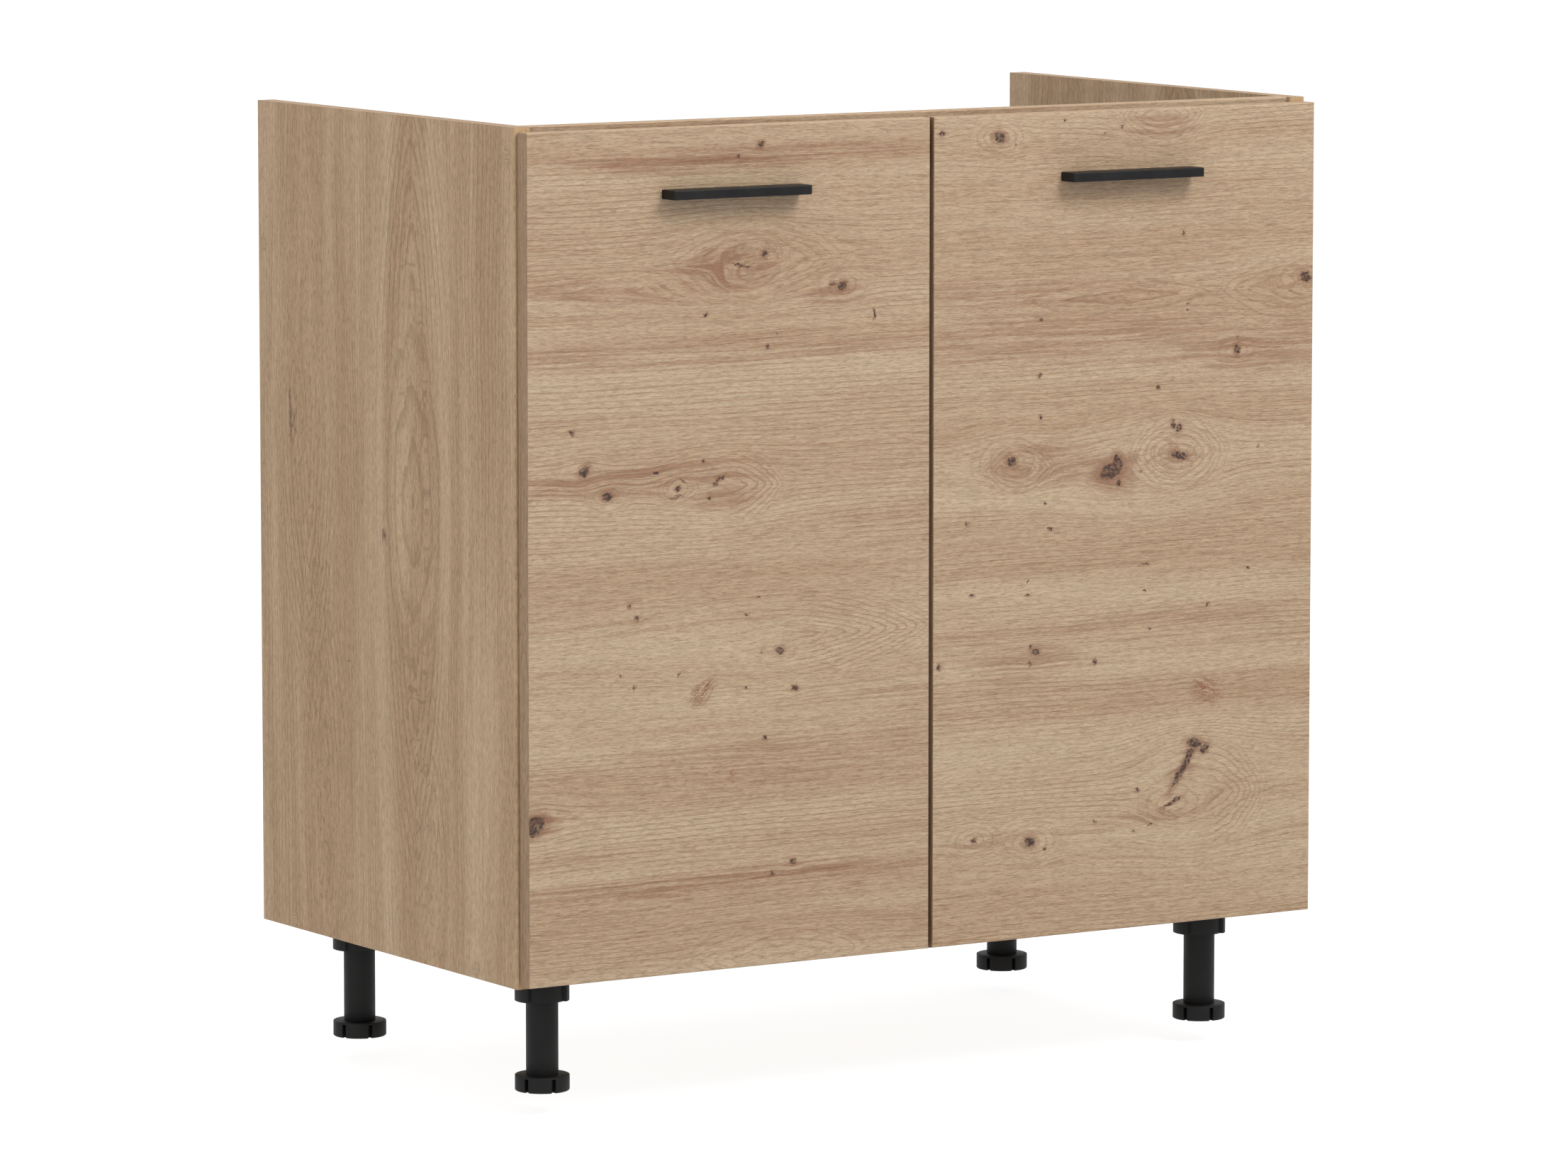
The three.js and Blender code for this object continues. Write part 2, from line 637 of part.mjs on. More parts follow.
// The pin at its cup end is its own, and ends short of the cup wall
function innerLink() {
  const bend = [INNER_CUP_PIVOT, ...INNER_LINK_BEND, INNER_ARM_PIVOT];
  const body = join(
    widthwise(strip(bend, LINK_THICKNESS), LINK_WIDTH),
    crossRod(INNER_ARM_PIVOT, ARM_BARREL_RADIUS, LINK_WIDTH, FACETS_BARREL),
    crossRod(INNER_CUP_PIVOT, CUP_BARREL_RADIUS, INNER_LINK_CUP_WIDTH, FACETS_BARREL),
    crossRod(INNER_CUP_PIVOT, PIVOT_PIN_RADIUS, OPEN_PIN_LENGTH),
  );
  return cut(body, crossRod(INNER_ARM_PIVOT, PIVOT_PIN_RADIUS + FIT, LINK_WIDTH + 2 * OVERCUT));
}

// Half the length of a straight line inside a circle, at a distance from its middle
function halfChord(radius, offset) {
  return Math.sqrt(radius * radius - offset * offset);
}

function hingeCup() {
  const backFace = -DOOR_AIR;
  const rimTop = backFace + CUP_RIM;
  const floor = backFace - CUP_DEPTH;
  const earMiddle = CUP_CENTRE + CUP_EAR_SHIFT;
  const ears = roundedRectangle(
    [-CUP_EAR_LENGTH / 2, earMiddle - CUP_EAR_WIDTH / 2],
    [CUP_EAR_LENGTH / 2, earMiddle + CUP_EAR_WIDTH / 2],
    Array(4).fill(CUP_EAR_WIDTH / 2),
  );
  const middle = [0, CUP_CENTRE];
  const shell = join(
    prism(ears, 'y', backFace, rimTop),
    rod('y', middle, CUP_RIM_RADIUS, backFace, rimTop, FACETS_LARGE),
    rod('y', middle, CUP_RADIUS, floor, rimTop - CUP_RIM / 2, FACETS_LARGE),
  );
  const screwHoles = [-1, 1].map((end) => (
    rod(
      'y',
      [end * CUP_SCREW_SPACING / 2, earMiddle],
      CUP_SCREW_HOLE_RADIUS,
      backFace - OVERCUT,
      rimTop + OVERCUT,
    )
  ));
  const innerRadius = CUP_RADIUS - CUP_WALL;
  const hollow = rod('y', middle, innerRadius, floor + CUP_FLOOR, rimTop + OVERCUT, FACETS_LARGE);
  const reach = halfChord(CUP_RADIUS - CUP_WALL / 2, CUP_CENTRE - OUTER_CUP_PIVOT[0]);
  return join(cut(shell, hollow, ...screwHoles), crossRod(OUTER_CUP_PIVOT, PIVOT_PIN_RADIUS, 2 * reach));
}

// Side view of the arm, or of its hollow where the web is set in by the gauge of the sheet. The
// web is the edge away from the side panel, and the nose turns about the inner arm pivot.
function armProfile(webInset) {
  const [noseX, noseY] = INNER_ARM_PIVOT;
  const [topX, topY] = OUTER_ARM_PIVOT;
  const noseEdge = noseX + ARM_NOSE_RADIUS - webInset;
  const back = ARM_BACK_HEIGHT - webInset;
  const slopeMiddle = (noseEdge + back) / 2 + ARM_WEB_SLOPE_SWELL;
  const flank = new THREE.SplineCurve([
    new THREE.Vector2(ARM_FLANK_BASE, PLATE_RAIL_START - 2 * FIT),
    ...ARM_FLANK_POINTS.map(([x, y]) => new THREE.Vector2(topX + x, topY + y)),
    new THREE.Vector2(noseX - ARM_NOSE_RADIUS, noseY),
  ]);
  const webSlope = new THREE.SplineCurve([
    new THREE.Vector2(noseEdge, topY + ARM_WEB_START),
    new THREE.Vector2(slopeMiddle, topY + ARM_WEB_SLOPE_RUN),
    new THREE.Vector2(back, ARM_WEB_SLOPE_END),
  ]);
  return outline([
    [ARM_FLANK_BASE, ARM_END],
    ...flank.getPoints(ARM_CURVE_STEPS).map(({ x, y }) => [x, y]),
    ...arc([noseX, noseY], ARM_NOSE_RADIUS, 180, 360, FACETS_BARREL).slice(1, -1),
    [noseEdge, noseY],
    ...webSlope.getPoints(ARM_CURVE_STEPS).map(({ x, y }) => [x, y]),
    [back, ARM_END],
  ]);
}

// A channel of bent sheet, open towards the side panel and at its nose, with both arm pins
function hingeArm() {
  const outerWidth = 2 * ARM_OUTER_HALF;
  const innerWidth = 2 * ARM_INNER_HALF;
  const endWall = ARM_END - ARM_GAUGE;
  const pastTheWeb = 2 * ARM_BACK_HEIGHT;
  const inside = cut(
    widthwise(armProfile(ARM_GAUGE), innerWidth),
    block([0, endWall, -BOARD], [pastTheWeb, ARM_END + OVERCUT, BOARD]),
  );
  const openFoot = block(
    [0, -BOARD, -ARM_INNER_HALF],
    [ARM_FLANK_BASE + OVERCUT, endWall, ARM_INNER_HALF],
  );
  const openNose = block(
    [OUTER_ARM_PIVOT[0] + ARM_FLANK_POINTS[0][0], -BOARD, -ARM_INNER_HALF],
    [pastTheWeb, ARM_NOSE_WEB_END, ARM_INNER_HALF],
  );
  const slot = roundedRectangle(
    [ADJUST_SLOT_LINE - ADJUST_SLOT_LENGTH / 2, -SLOT_ROUND_RADIUS],
    [ADJUST_SLOT_LINE + ADJUST_SLOT_LENGTH / 2, SLOT_ROUND_RADIUS],
    Array(4).fill(SLOT_ROUND_RADIUS),
    FACETS_BARREL,
  );
  const webSpan = [ARM_WEB_INNER_HEIGHT - OVERCUT, ARM_BACK_HEIGHT + 2 * OVERCUT];
  const channel = cut(
    widthwise(armProfile(0), outerWidth),
    inside,
    openFoot,
    openNose,
    prism(slot, 'x', ...webSpan),
    rod('x', [SIDE_SCREW_LINE, 0], SLOT_ROUND_RADIUS, ...webSpan),
  );
  const pinWidth = outerWidth - ARM_GAUGE;
  return join(
    channel,
    crossRod(OUTER_ARM_PIVOT, PIVOT_PIN_RADIUS, pinWidth),
    crossRod(INNER_ARM_PIVOT, PIVOT_PIN_RADIUS, pinWidth),
  );
}

// Two screwed wings and, between them, the rail that the arm slides on
function mountingPlate() {
  const wings = roundedRectangle(
    [PLATE_SCREW_LINE - PLATE_WING_WIDTH / 2, -PLATE_WING_LENGTH / 2],
    [PLATE_SCREW_LINE + PLATE_WING_WIDTH / 2, PLATE_WING_LENGTH / 2],
    Array(4).fill(PLATE_WING_ROUND),
  );
  const railPlan = roundedRectangle(
    [PLATE_RAIL_START, -RAIL_HALF_WIDTH],
    [PLATE_RAIL_END, RAIL_HALF_WIDTH],
    Array(4).fill(PLATE_RAIL_ROUND),
    FACETS_BARREL,
  );
  const wingTop = BOARD + PLATE_BASE;
  const railTop = ARM_WEB_INNER_HEIGHT - FIT;
  const screwPlaces = [-1, 1].map((end) => [PLATE_SCREW_LINE, end * PLATE_SCREW_SPACING / 2]);
  return cut(
    join(
      prism(wings, 'x', BOARD, wingTop),
      prism(railPlan, 'x', BOARD, railTop),
    ),
    ...screwPlaces.flatMap((at) => [
      rod('x', at, PLATE_SCREW_HOLE_RADIUS, BOARD - OVERCUT, railTop),
      rod('x', at, PLATE_SCREW_SINK_RADIUS, wingTop - PLATE_SCREW_SINK_DEPTH, railTop, FACETS_BARREL),
    ]),
    rod('x', [ADJUST_SLOT_LINE, 0], SLOT_ROUND_RADIUS, wingTop, railTop + OVERCUT),
  );
}

function buildHinges() {
  const pieces = [
    { piece: 'plate', form: mountingPlate(), finish: 'nickel' },
    { piece: 'arm', form: hingeArm(), finish: 'nickel' },
    { piece: 'outer_link', form: outerLink(), finish: 'nickel' },
    { piece: 'inner_link', form: innerLink(), finish: 'nickel' },
    { piece: 'cup', form: hingeCup(), finish: 'nickel' },
  ];
  HANDS.forEach(({ hand, faceX, inwards }) => {
    ['lower', 'upper'].forEach((level, number) => {
      const hinge = new THREE.Group();
      hinge.position.set(faceX, FRONT_Y, HINGE_HEIGHTS[number]);
      cabinet.add(hinge);
      pieces.forEach(({ piece, form, finish }) => {
        const name = `${hand}_${level}_hinge_${piece}`;
        place(name, forHand(form.clone(), inwards), finish, [0, 0, 0], hinge);
      });
    });
  });
}

buildCarcass();
buildLegs();
buildDoors();
buildHinges();

export default cabinet;
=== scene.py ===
"""Looks of a sink base cabinet: oak print, black legs and handles, nickel hinges and small screws."""

import logging
import math
from dataclasses import dataclass, field
from enum import Enum
from functools import cache
from typing import Protocol

import bmesh
import bpy
from mathutils import Matrix, Vector


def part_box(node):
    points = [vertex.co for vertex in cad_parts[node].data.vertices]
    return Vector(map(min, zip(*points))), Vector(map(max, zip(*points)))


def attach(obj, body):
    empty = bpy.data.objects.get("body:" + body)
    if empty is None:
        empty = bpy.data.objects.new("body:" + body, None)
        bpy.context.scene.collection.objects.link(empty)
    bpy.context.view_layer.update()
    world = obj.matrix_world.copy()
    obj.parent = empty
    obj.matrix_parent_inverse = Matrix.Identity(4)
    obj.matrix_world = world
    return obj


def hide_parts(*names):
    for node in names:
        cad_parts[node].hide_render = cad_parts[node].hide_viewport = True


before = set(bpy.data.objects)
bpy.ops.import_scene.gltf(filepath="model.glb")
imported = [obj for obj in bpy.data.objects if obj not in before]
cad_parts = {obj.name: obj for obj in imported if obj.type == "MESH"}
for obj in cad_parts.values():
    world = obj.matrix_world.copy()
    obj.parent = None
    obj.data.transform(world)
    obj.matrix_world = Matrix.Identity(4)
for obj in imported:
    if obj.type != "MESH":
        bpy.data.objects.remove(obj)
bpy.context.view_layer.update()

log = logging.getLogger("sink_base")

MM = 0.001
HALF_WIDTH = 400.0
ORIGIN = (0.0, 0.0, 0.0)
UP = (0.0, 0.0, 1.0)
WHITE = (1.0, 1.0, 1.0, 1.0)

Colour = tuple[float, float, float]
Point = tuple[float, float, float]
Profile = list[tuple[float, float]]
Socket = bpy.types.NodeSocket
Value = float | Socket


class Axis(Enum):
    """The three directions of the cabinet."""

    X = 0
    Y = 1
    Z = 2


class Hand(Enum):
    """The two mirrored halves of the cabinet, with the sign of their side of X."""

    LEFT = -1
    RIGHT = 1

    @property
    def word(self) -> str:
        """The word that the names of this half start with."""
        return self.name.lower()


# ---------------------------------------------------------------- node sheets

# Numbers of the Mix node's sockets for colours, which share their names with those for numbers.
COLOUR_UNDER, COLOUR_OVER, COLOUR_RESULT = 6, 7, 2


class FinishSheet:
    """The node tree of one finish, with short calls for the nodes that the finishes share."""

    def __init__(self, name: str) -> None:
        """Starts an empty material.

        Args:
            name: The material's name.
        """
        self.material = bpy.data.materials.new(name)
        self.material.use_nodes = True
        self.tree = self.material.node_tree
        self.tree.nodes.clear()
        self.where = self.tree.nodes.new("ShaderNodeTexCoord")
        self.surface = self.tree.nodes.new("ShaderNodeBsdfPrincipled")
        output = self.tree.nodes.new("ShaderNodeOutputMaterial")
        self.tree.links.new(self.surface.outputs["BSDF"], output.inputs["Surface"])

    def node(self, kind: str, inputs: dict[str | int, object], **settings: object) -> bpy.types.Node:
        """Adds a node.

        Args:
            kind: The node's type.
            inputs: A value or a socket for each input that is set, by name or number.
            **settings: The node's own properties.

        Returns:
            The new node.
        """
        made = self.tree.nodes.new(kind)
        for word, setting in settings.items():
            setattr(made, word, setting)
        for key, value in inputs.items():
            self.feed(made.inputs[key], value)
        return made

    def feed(self, target: Socket, value: object) -> None:
        """Links a socket to an input, or sets the input to a plain value.

        Args:
            target: The input.
            value: A socket, a number, or the three numbers of a colour or a vector.
        """
        if isinstance(value, bpy.types.NodeSocket):
            self.tree.links.new(value, target)
        elif target.type == "RGBA":
            target.default_value = (*value, 1.0)
        else:
            target.default_value = value

    def sum(self, operation: str, *values: Value) -> Socket:
        """Works out one number from others, by an operation of the Math node."""
        return self.node("ShaderNodeMath", dict(enumerate(values)), operation=operation).outputs[0]

    def vector(self, operation: str, *values: object) -> Socket:
        """Works out one vector from others."""
        return self.node("ShaderNodeVectorMath", dict(enumerate(values)), operation=operation).outputs[0]

    def split(self, vector: Socket) -> list[Socket]:
        """The three numbers of a vector."""
        return list(self.node("ShaderNodeSeparateXYZ", {0: vector}).outputs)

    def join(self, x: Value, y: Value, z: Value = 0.0) -> Socket:
        """A vector from three numbers."""
        return self.node("ShaderNodeCombineXYZ", {0: x, 1: y, 2: z}).outputs[0]

    def remap(self, value: Socket, low: float, high: float, start: float = 0.0, end: float = 1.0) -> Socket:
        """Eases a number from one span into another.

        Args:
            value: The number.
            low: Where the easing starts.
            high: Where it ends.
            start: What it gives at low.
            end: What it gives at high.

        Returns:
            The eased number.
        """
        inputs = {"Value": value, "From Min": low, "From Max": high, "To Min": start, "To Max": end}
        return self.node("ShaderNodeMapRange", inputs, interpolation_type="SMOOTHSTEP").outputs[0]

    def noise(
        self, vector: Socket, scale: float, detail: float, rough: float = 0.5, output: str = "Fac"
    ) -> Socket:
        """Even noise at a scale, from 0 to 1, as a number or as a colour of three numbers."""
        inputs = {"Vector": vector, "Scale": scale, "Detail": detail, "Roughness": rough}
        return self.node("ShaderNodeTexNoise", inputs).outputs[output]

    def blend(self, share: Value, under: object, over: object) -> Socket:
        """Lays a share of the second colour over the first."""
        inputs = {0: share, COLOUR_UNDER: under, COLOUR_OVER: over}
        return self.node("ShaderNodeMix", inputs, data_type="RGBA").outputs[COLOUR_RESULT]

    def choose(self, share: Value, under: Value, over: Value) -> Socket:
        """Goes from the first number to the second by a share."""
        return self.node("ShaderNodeMix", {0: share, 2: under, 3: over}, data_type="FLOAT").outputs[0]

    def paint(self, colour: Socket, roughness: Value, specular: float) -> None:
        """Sets the skin of the surface.

        Args:
            colour: Its colour.
            roughness: How rough it is.
            specular: How glossy it is.
        """
        self.feed(self.surface.inputs["Base Color"], colour)
        self.feed(self.surface.inputs["Roughness"], roughness)
        self.surface.inputs["Specular IOR Level"].default_value = specular

    def relief(self, height: Socket, depth: float, strength: float) -> None:
        """Gives the surface a bump of a real depth in metres."""
        bump = self.node("ShaderNodeBump", {"Strength": strength, "Distance": depth, "Height": height})
        self.feed(self.surface.inputs["Normal"], bump.outputs[0])


# ---------------------------------------------------------------- oak print


@dataclass(frozen=True)
class Lay:
    """How the print lies on the faces that look along each axis: grain direction, then across it."""

    on_x: tuple[Axis, Axis]
    on_y: tuple[Axis, Axis]
    on_z: tuple[Axis, Axis]


LEVEL = Lay(on_x=(Axis.Z, Axis.Y), on_y=(Axis.X, Axis.Z), on_z=(Axis.X, Axis.Y))
UPRIGHT = Lay(on_x=(Axis.Z, Axis.Y), on_y=(Axis.Z, Axis.X), on_z=(Axis.Y, Axis.X))
PLUGGED = Lay(on_x=(Axis.Y, Axis.Z), on_y=(Axis.X, Axis.Z), on_z=(Axis.Y, Axis.X))


@dataclass(frozen=True)
class Mark:
    """Where a mark lies, from the board's low corner, and its half length and half height, all in mm."""

    along: float
    across: float
    length: float
    height: float


@dataclass(frozen=True)
class Knot(Mark):
    """A knot, which may part the grain for a way in mm and lie in rings. Its turn is in degrees."""

    turn: float = 0.0
    parting: float = 0.0
    rings: float = 0.0
    depth: float = 1.0


@dataclass(frozen=True)
class Figure(Mark):
    """Growth rings cut by the face of the board, nested about one place and open at one end or at none."""

    rings: float
    open_end: int = 0
    strength: float = 1.0
    pointed: bool = True


@dataclass(frozen=True)
class Stain(Mark):
    """A long streak or a soft patch of darker wood. Its turn is in degrees."""

    strength: float
    turn: float = 0.0
    flecks: float = 0.0


@dataclass(frozen=True)
class OakTones:
    """The colours of one oak print, as linear light. Edge and top multiply the colour of the narrow and the
    upward faces: painted shade on the oak boards' edges, painted light on their tops, and the paler tone of
    the side panels' edge band.
    """

    pale: Colour
    middle: Colour
    brown: Colour
    red: Colour
    heart: Colour = (0.026, 0.014, 0.012)
    # edge: painted shade on the narrow faces of the doors and boards, and the paler tone of the side panels'
    # edge band; top: painted light on the upward faces.
    edge: Colour = (1.0, 1.0, 1.0)
    top: Colour = (1.0, 1.0, 1.0)


RUSTIC = OakTones(
    pale=(0.386, 0.290, 0.191),
    middle=(0.336, 0.232, 0.145),
    brown=(0.176, 0.086, 0.039),
    red=(0.186, 0.082, 0.045),
    # Painted shade on the door and board edges, and painted light on their tops.
    edge=(0.75, 0.67, 0.60),
    top=(1.13, 1.10, 1.06),
)
PLAIN = OakTones(
    pale=(0.425, 0.302, 0.188),
    middle=(0.338, 0.220, 0.123),
    brown=(0.160, 0.085, 0.034),
    red=(0.20, 0.11, 0.055),
    edge=(1.12, 1.08, 1.0),
)
CAP_TONES = OakTones(
    pale=(0.392, 0.272, 0.166),
    middle=(0.332, 0.219, 0.128),
    brown=(0.178, 0.103, 0.055),
    red=(0.22, 0.125, 0.07),
)


@dataclass(frozen=True)
class Layer:
    """Noise drawn out along the grain: how often it changes to each metre, its own place, and its detail."""

    along: float
    across: float
    place: float
    detail: float = 3.0


BANDS = Layer(1.3, 24.0, 2.0)
STREAKS = Layer(3.4, 240.0, 3.0, 5.0)
THREADS = Layer(11.0, 430.0, 9.0)
FIBRES = Layer(135.0, 1150.0, 5.0)
PORES = Layer(160.0, 1300.0, 6.0, 1.0)
DRIFT = Layer(2.0, 10.0, 7.0, 2.0)
JITTER = Layer(85.0, 190.0, 10.0, 2.0)
LINED = Layer(1.8, 28.0, 8.0, 2.0)
LAYER_STEP = 3.7
LAYER_ROUGH = 0.6

# What the layers are eased through: from, to, and what that gives where it isn't 0 to 1.
PALE_BANDS = (0.33, 0.67)
DEEP_BANDS = (0.62, 0.38, 0.42, 1.0)
DARK_STREAKS = (0.50, 0.70, 0.0)
PALE_STREAKS = (0.46, 0.30, 0.0)
THREAD_EDGE = (0.55, 0.62, 0.0)
PALE_THREADS = (0.42, 0.34, 0.0, 0.38)
DASH_EDGE = (0.55, 0.61, 0.0)
PORE_EDGE = (0.57, 0.64)
FIBRE_TONE = (0.36, 0.64, 0.88, 1.12)
FIBRE_GLOSS = (0.2, 0.8, 0.52, 0.64)
RING_REACH = (1.9, 0.6)
RING_EDGE = (0.60, 0.95, 0.0)
OPEN_END = (-0.15, 0.35)
LINES_SHOWN = (0.40, 0.60, 0.15, 1.0)
LINE_EDGE = (0.58, 0.95)
# The pale lip beside each growth line, a painted highlight of its raised edge.
PAINTED_HIGHLIGHT_EDGE = (0.22, 0.0)
HEART_EDGE = (1.15, 0.6, 0.0)
HEART_BREAKS = (0.60, 0.44, 0.45, 1.0)
HALO_EDGE = (4.2, 0.7, 0.0)
STAIN_EDGE = (1.2, 0.0, 0.0)
STAIN_BREAKS = (0.44, 0.56, 0.12, 1.0)
FLECK_EDGE = (0.42, 0.62)


@dataclass(frozen=True)
class Figuring:
    """How strongly each layer of a print and the painted highlight beside its growth lines show, and how
    close its growth lines stand to each metre.
    """

    line_rate: float = 225.0
    lines: float = 0.42
    # How strongly the painted highlight beside each growth line shows.
    painted_line_highlights: float = 0.38
    ragged: float = 0.38
    rings: float = 0.62
    streaks: float = 0.16
    threads: float = 0.24
    dashes: float = 0.44
    dash: Layer = Layer(42.0, 620.0, 4.0)
    wander: float = 0.012
    jag: float = 1.0
    unrest: Layer = Layer(34.0, 80.0, 0.5)


@dataclass(frozen=True)
class OakPrint:
    """Oak print on a board: bands of tone, growth lines with a painted highlight beside each, dashes, fibres
    and pores, and its knots, with painted shade on its edges and painted light on its top.

    Facing says how squarely a face looks along an axis, the back shift sets the print of a board's two
    faces apart in metres, the shake is how far the outline of a knot strays, and the parting is how far a
    mark pushes the grain aside, in parts of its height.
    """

    name: str
    lay: Lay
    tones: OakTones
    corner: Point = (0.0, 0.0, 0.0)
    seed: float = 0.0
    figuring: Figuring = Figuring()
    knots: tuple[Knot, ...] = ()
    figures: tuple[Figure, ...] = ()
    stains: tuple[Stain, ...] = ()
    facing: float = 0.7
    back_shift: float = 2.3
    shake_scale: float = 330.0
    shake_place: float = 5.0
    shake: tuple[float, float] = (0.009, 0.007)
    parting: float = 0.75
    wander_rate: tuple[float, float] = (2.0, 8.0)
    wander_place: float = 1.0
    calming: float = 0.95
    wobble: float = 1.6
    point_rounding: float = 0.006
    knot_stretch: float = 1.7
    knot_rings: float = 1.5
    knot_ring_strength: float = 0.5
    drifting: float = 5.0
    heart_strength: float = 0.94
    halo_strength: float = 0.52
    pore_strength: float = 0.34
    pale_share: float = 0.9
    fleck_scale: float = 1.6
    fibre_relief: float = 0.8
    specular: float = 0.28
    relief_depth: float = 0.00012
    relief_strength: float = 0.6

    def build(self) -> bpy.types.Material:
        """Makes the material.

        Returns:
            The finished material.
        """
        sheet = FinishSheet(self.name)
        along, across, edge_band_and_painted_light = self._face(sheet)
        unrest = self._grain(sheet, along, across, self.figuring.unrest)
        ragged, speckle = self._ragged(sheet, along, across)
        bent, rings, calm = self._parted(sheet, along, across, unrest)

        bands = self._grain(sheet, along, bent, BANDS)
        streaks = self._grain(sheet, along, bent, STREAKS)
        threads = self._grain(sheet, along, bent, THREADS)
        dashes = self._grain(sheet, along, bent, self.figuring.dash)
        line, painted_line_highlight = self._growth_lines(sheet, along, bent, calm)
        ringed = sheet.sum(
            "MAXIMUM",
            sheet.sum("MULTIPLY", line, self.figuring.lines),
            sheet.sum("MULTIPLY", rings, self.figuring.rings),
        )
        half = sheet.sum("MULTIPLY", threads, 0.5)
        stain = self._stains(sheet, ragged, sheet.sum("MULTIPLY_ADD", streaks, 0.5, half))
        heart, halo = self._knots(sheet, ragged)
        heart = sheet.sum("MULTIPLY", heart, sheet.remap(speckle, *HEART_BREAKS))
        fibres = self._grain(sheet, along, across, FIBRES)
        pores = sheet.remap(self._grain(sheet, along, across, PORES), *PORE_EDGE)

        dark = self.figuring.streaks
        depth = sheet.remap(bands, *DEEP_BANDS)
        thread = sheet.sum("MULTIPLY", sheet.remap(threads, *THREAD_EDGE, self.figuring.threads), depth)
        dash = sheet.sum("MULTIPLY", sheet.remap(dashes, *DASH_EDGE, self.figuring.dashes), depth)
        colour = sheet.blend(sheet.remap(bands, *PALE_BANDS), self.tones.middle, self.tones.pale)
        for share, tone in (
            (sheet.remap(streaks, *DARK_STREAKS, dark), self.tones.brown),
            (sheet.remap(streaks, *PALE_STREAKS, dark * self.pale_share), self.tones.pale),
            (sheet.sum("MAXIMUM", thread, dash), self.tones.brown),
            (sheet.remap(threads, *PALE_THREADS), self.tones.pale),
            (ringed, self.tones.brown),
            # Painted highlight: the pale lip beside each growth line.
            (sheet.sum("MULTIPLY", painted_line_highlight, self.figuring.painted_line_highlights), self.tones.pale),
            (stain, self.tones.red),
            (halo, self.tones.red),
            (heart, self.tones.heart),
            (sheet.sum("MULTIPLY", pores, self.pore_strength), self.tones.brown),
        ):
            colour = sheet.blend(share, colour, tone)
        grey = sheet.remap(fibres, *FIBRE_TONE)
        colour = sheet.vector("MULTIPLY", colour, sheet.join(grey, grey, grey))
        # Painted shade on the edges and painted light on the tops, with the side panels' paler edge band.
        colour = sheet.vector("MULTIPLY", colour, edge_band_and_painted_light)
        sheet.paint(colour, sheet.remap(fibres, *FIBRE_GLOSS), self.specular)
        height = sheet.sum("SUBTRACT", sheet.sum("MULTIPLY", fibres, self.fibre_relief), pores)
        sheet.relief(height, self.relief_depth, self.relief_strength)
        return sheet.material

    def _face(self, sheet: FinishSheet) -> tuple[Socket, Socket, Socket]:
        """Lays the print on the faces that look along each axis.

        Args:
            sheet: The node sheet.

        Returns:
            The place along and across the grain in metres, and what the colour of the edges and the top is
            multiplied by: painted shade on the oak boards' edges, painted light on their tops, and the paler
            edge band of the side panels.
        """
        shift = tuple(-value for value in self.corner)
        place = sheet.split(sheet.vector("ADD", sheet.where.outputs["Object"], shift))
        normal = sheet.split(sheet.where.outputs["Normal"])
        is_x, is_z = (
            sheet.sum("GREATER_THAN", sheet.sum("ABSOLUTE", normal[axis.value]), self.facing)
            for axis in (Axis.X, Axis.Z)
        )
        behind = sheet.sum("GREATER_THAN", normal[Axis.Y.value], self.facing)
        found = []
        for part in (0, 1):
            ways = (self.lay.on_x, self.lay.on_y, self.lay.on_z)
            on_x, on_y, on_z = (place[way[part].value] for way in ways)
            found.append(sheet.choose(is_z, sheet.choose(is_x, on_y, on_x), on_z))
        found[0] = sheet.sum("MULTIPLY_ADD", behind, self.back_shift, found[0])
        # Painted shade on the narrow faces, the paler edge band on the side panels, and painted light on the
        # upward faces.
        narrow = sheet.sum("SUBTRACT", 1.0, is_x) if self.lay == UPRIGHT else is_x
        edge_band_and_painted_light = sheet.blend(narrow, (1.0, 1.0, 1.0), self.tones.edge)
        return found[0], found[1], sheet.blend(is_z, edge_band_and_painted_light, self.tones.top)

    def _ragged(
        self, sheet: FinishSheet, along: Socket, across: Socket
    ) -> tuple[tuple[Socket, Socket], Socket]:
        """Shakes the place a little, so that no knot has an even outline.

        Args:
            sheet: The node sheet.
            along: The place along the grain.
            across: The place across the grain.

        Returns:
            The shaken place, and noise that breaks up the hearts.
        """
        flat = sheet.join(along, across, self.seed + self.shake_place)
        x, y, speckle = sheet.split(sheet.noise(flat, self.shake_scale, 3.0, 0.6, "Color"))
        shaken_along, shaken_across = (
            sheet.sum("MULTIPLY_ADD", shake, reach, sheet.sum("ADD", place, -reach / 2))
            for shake, reach, place in zip((x, y), self.shake, (along, across))
        )
        return (shaken_along, shaken_across), speckle

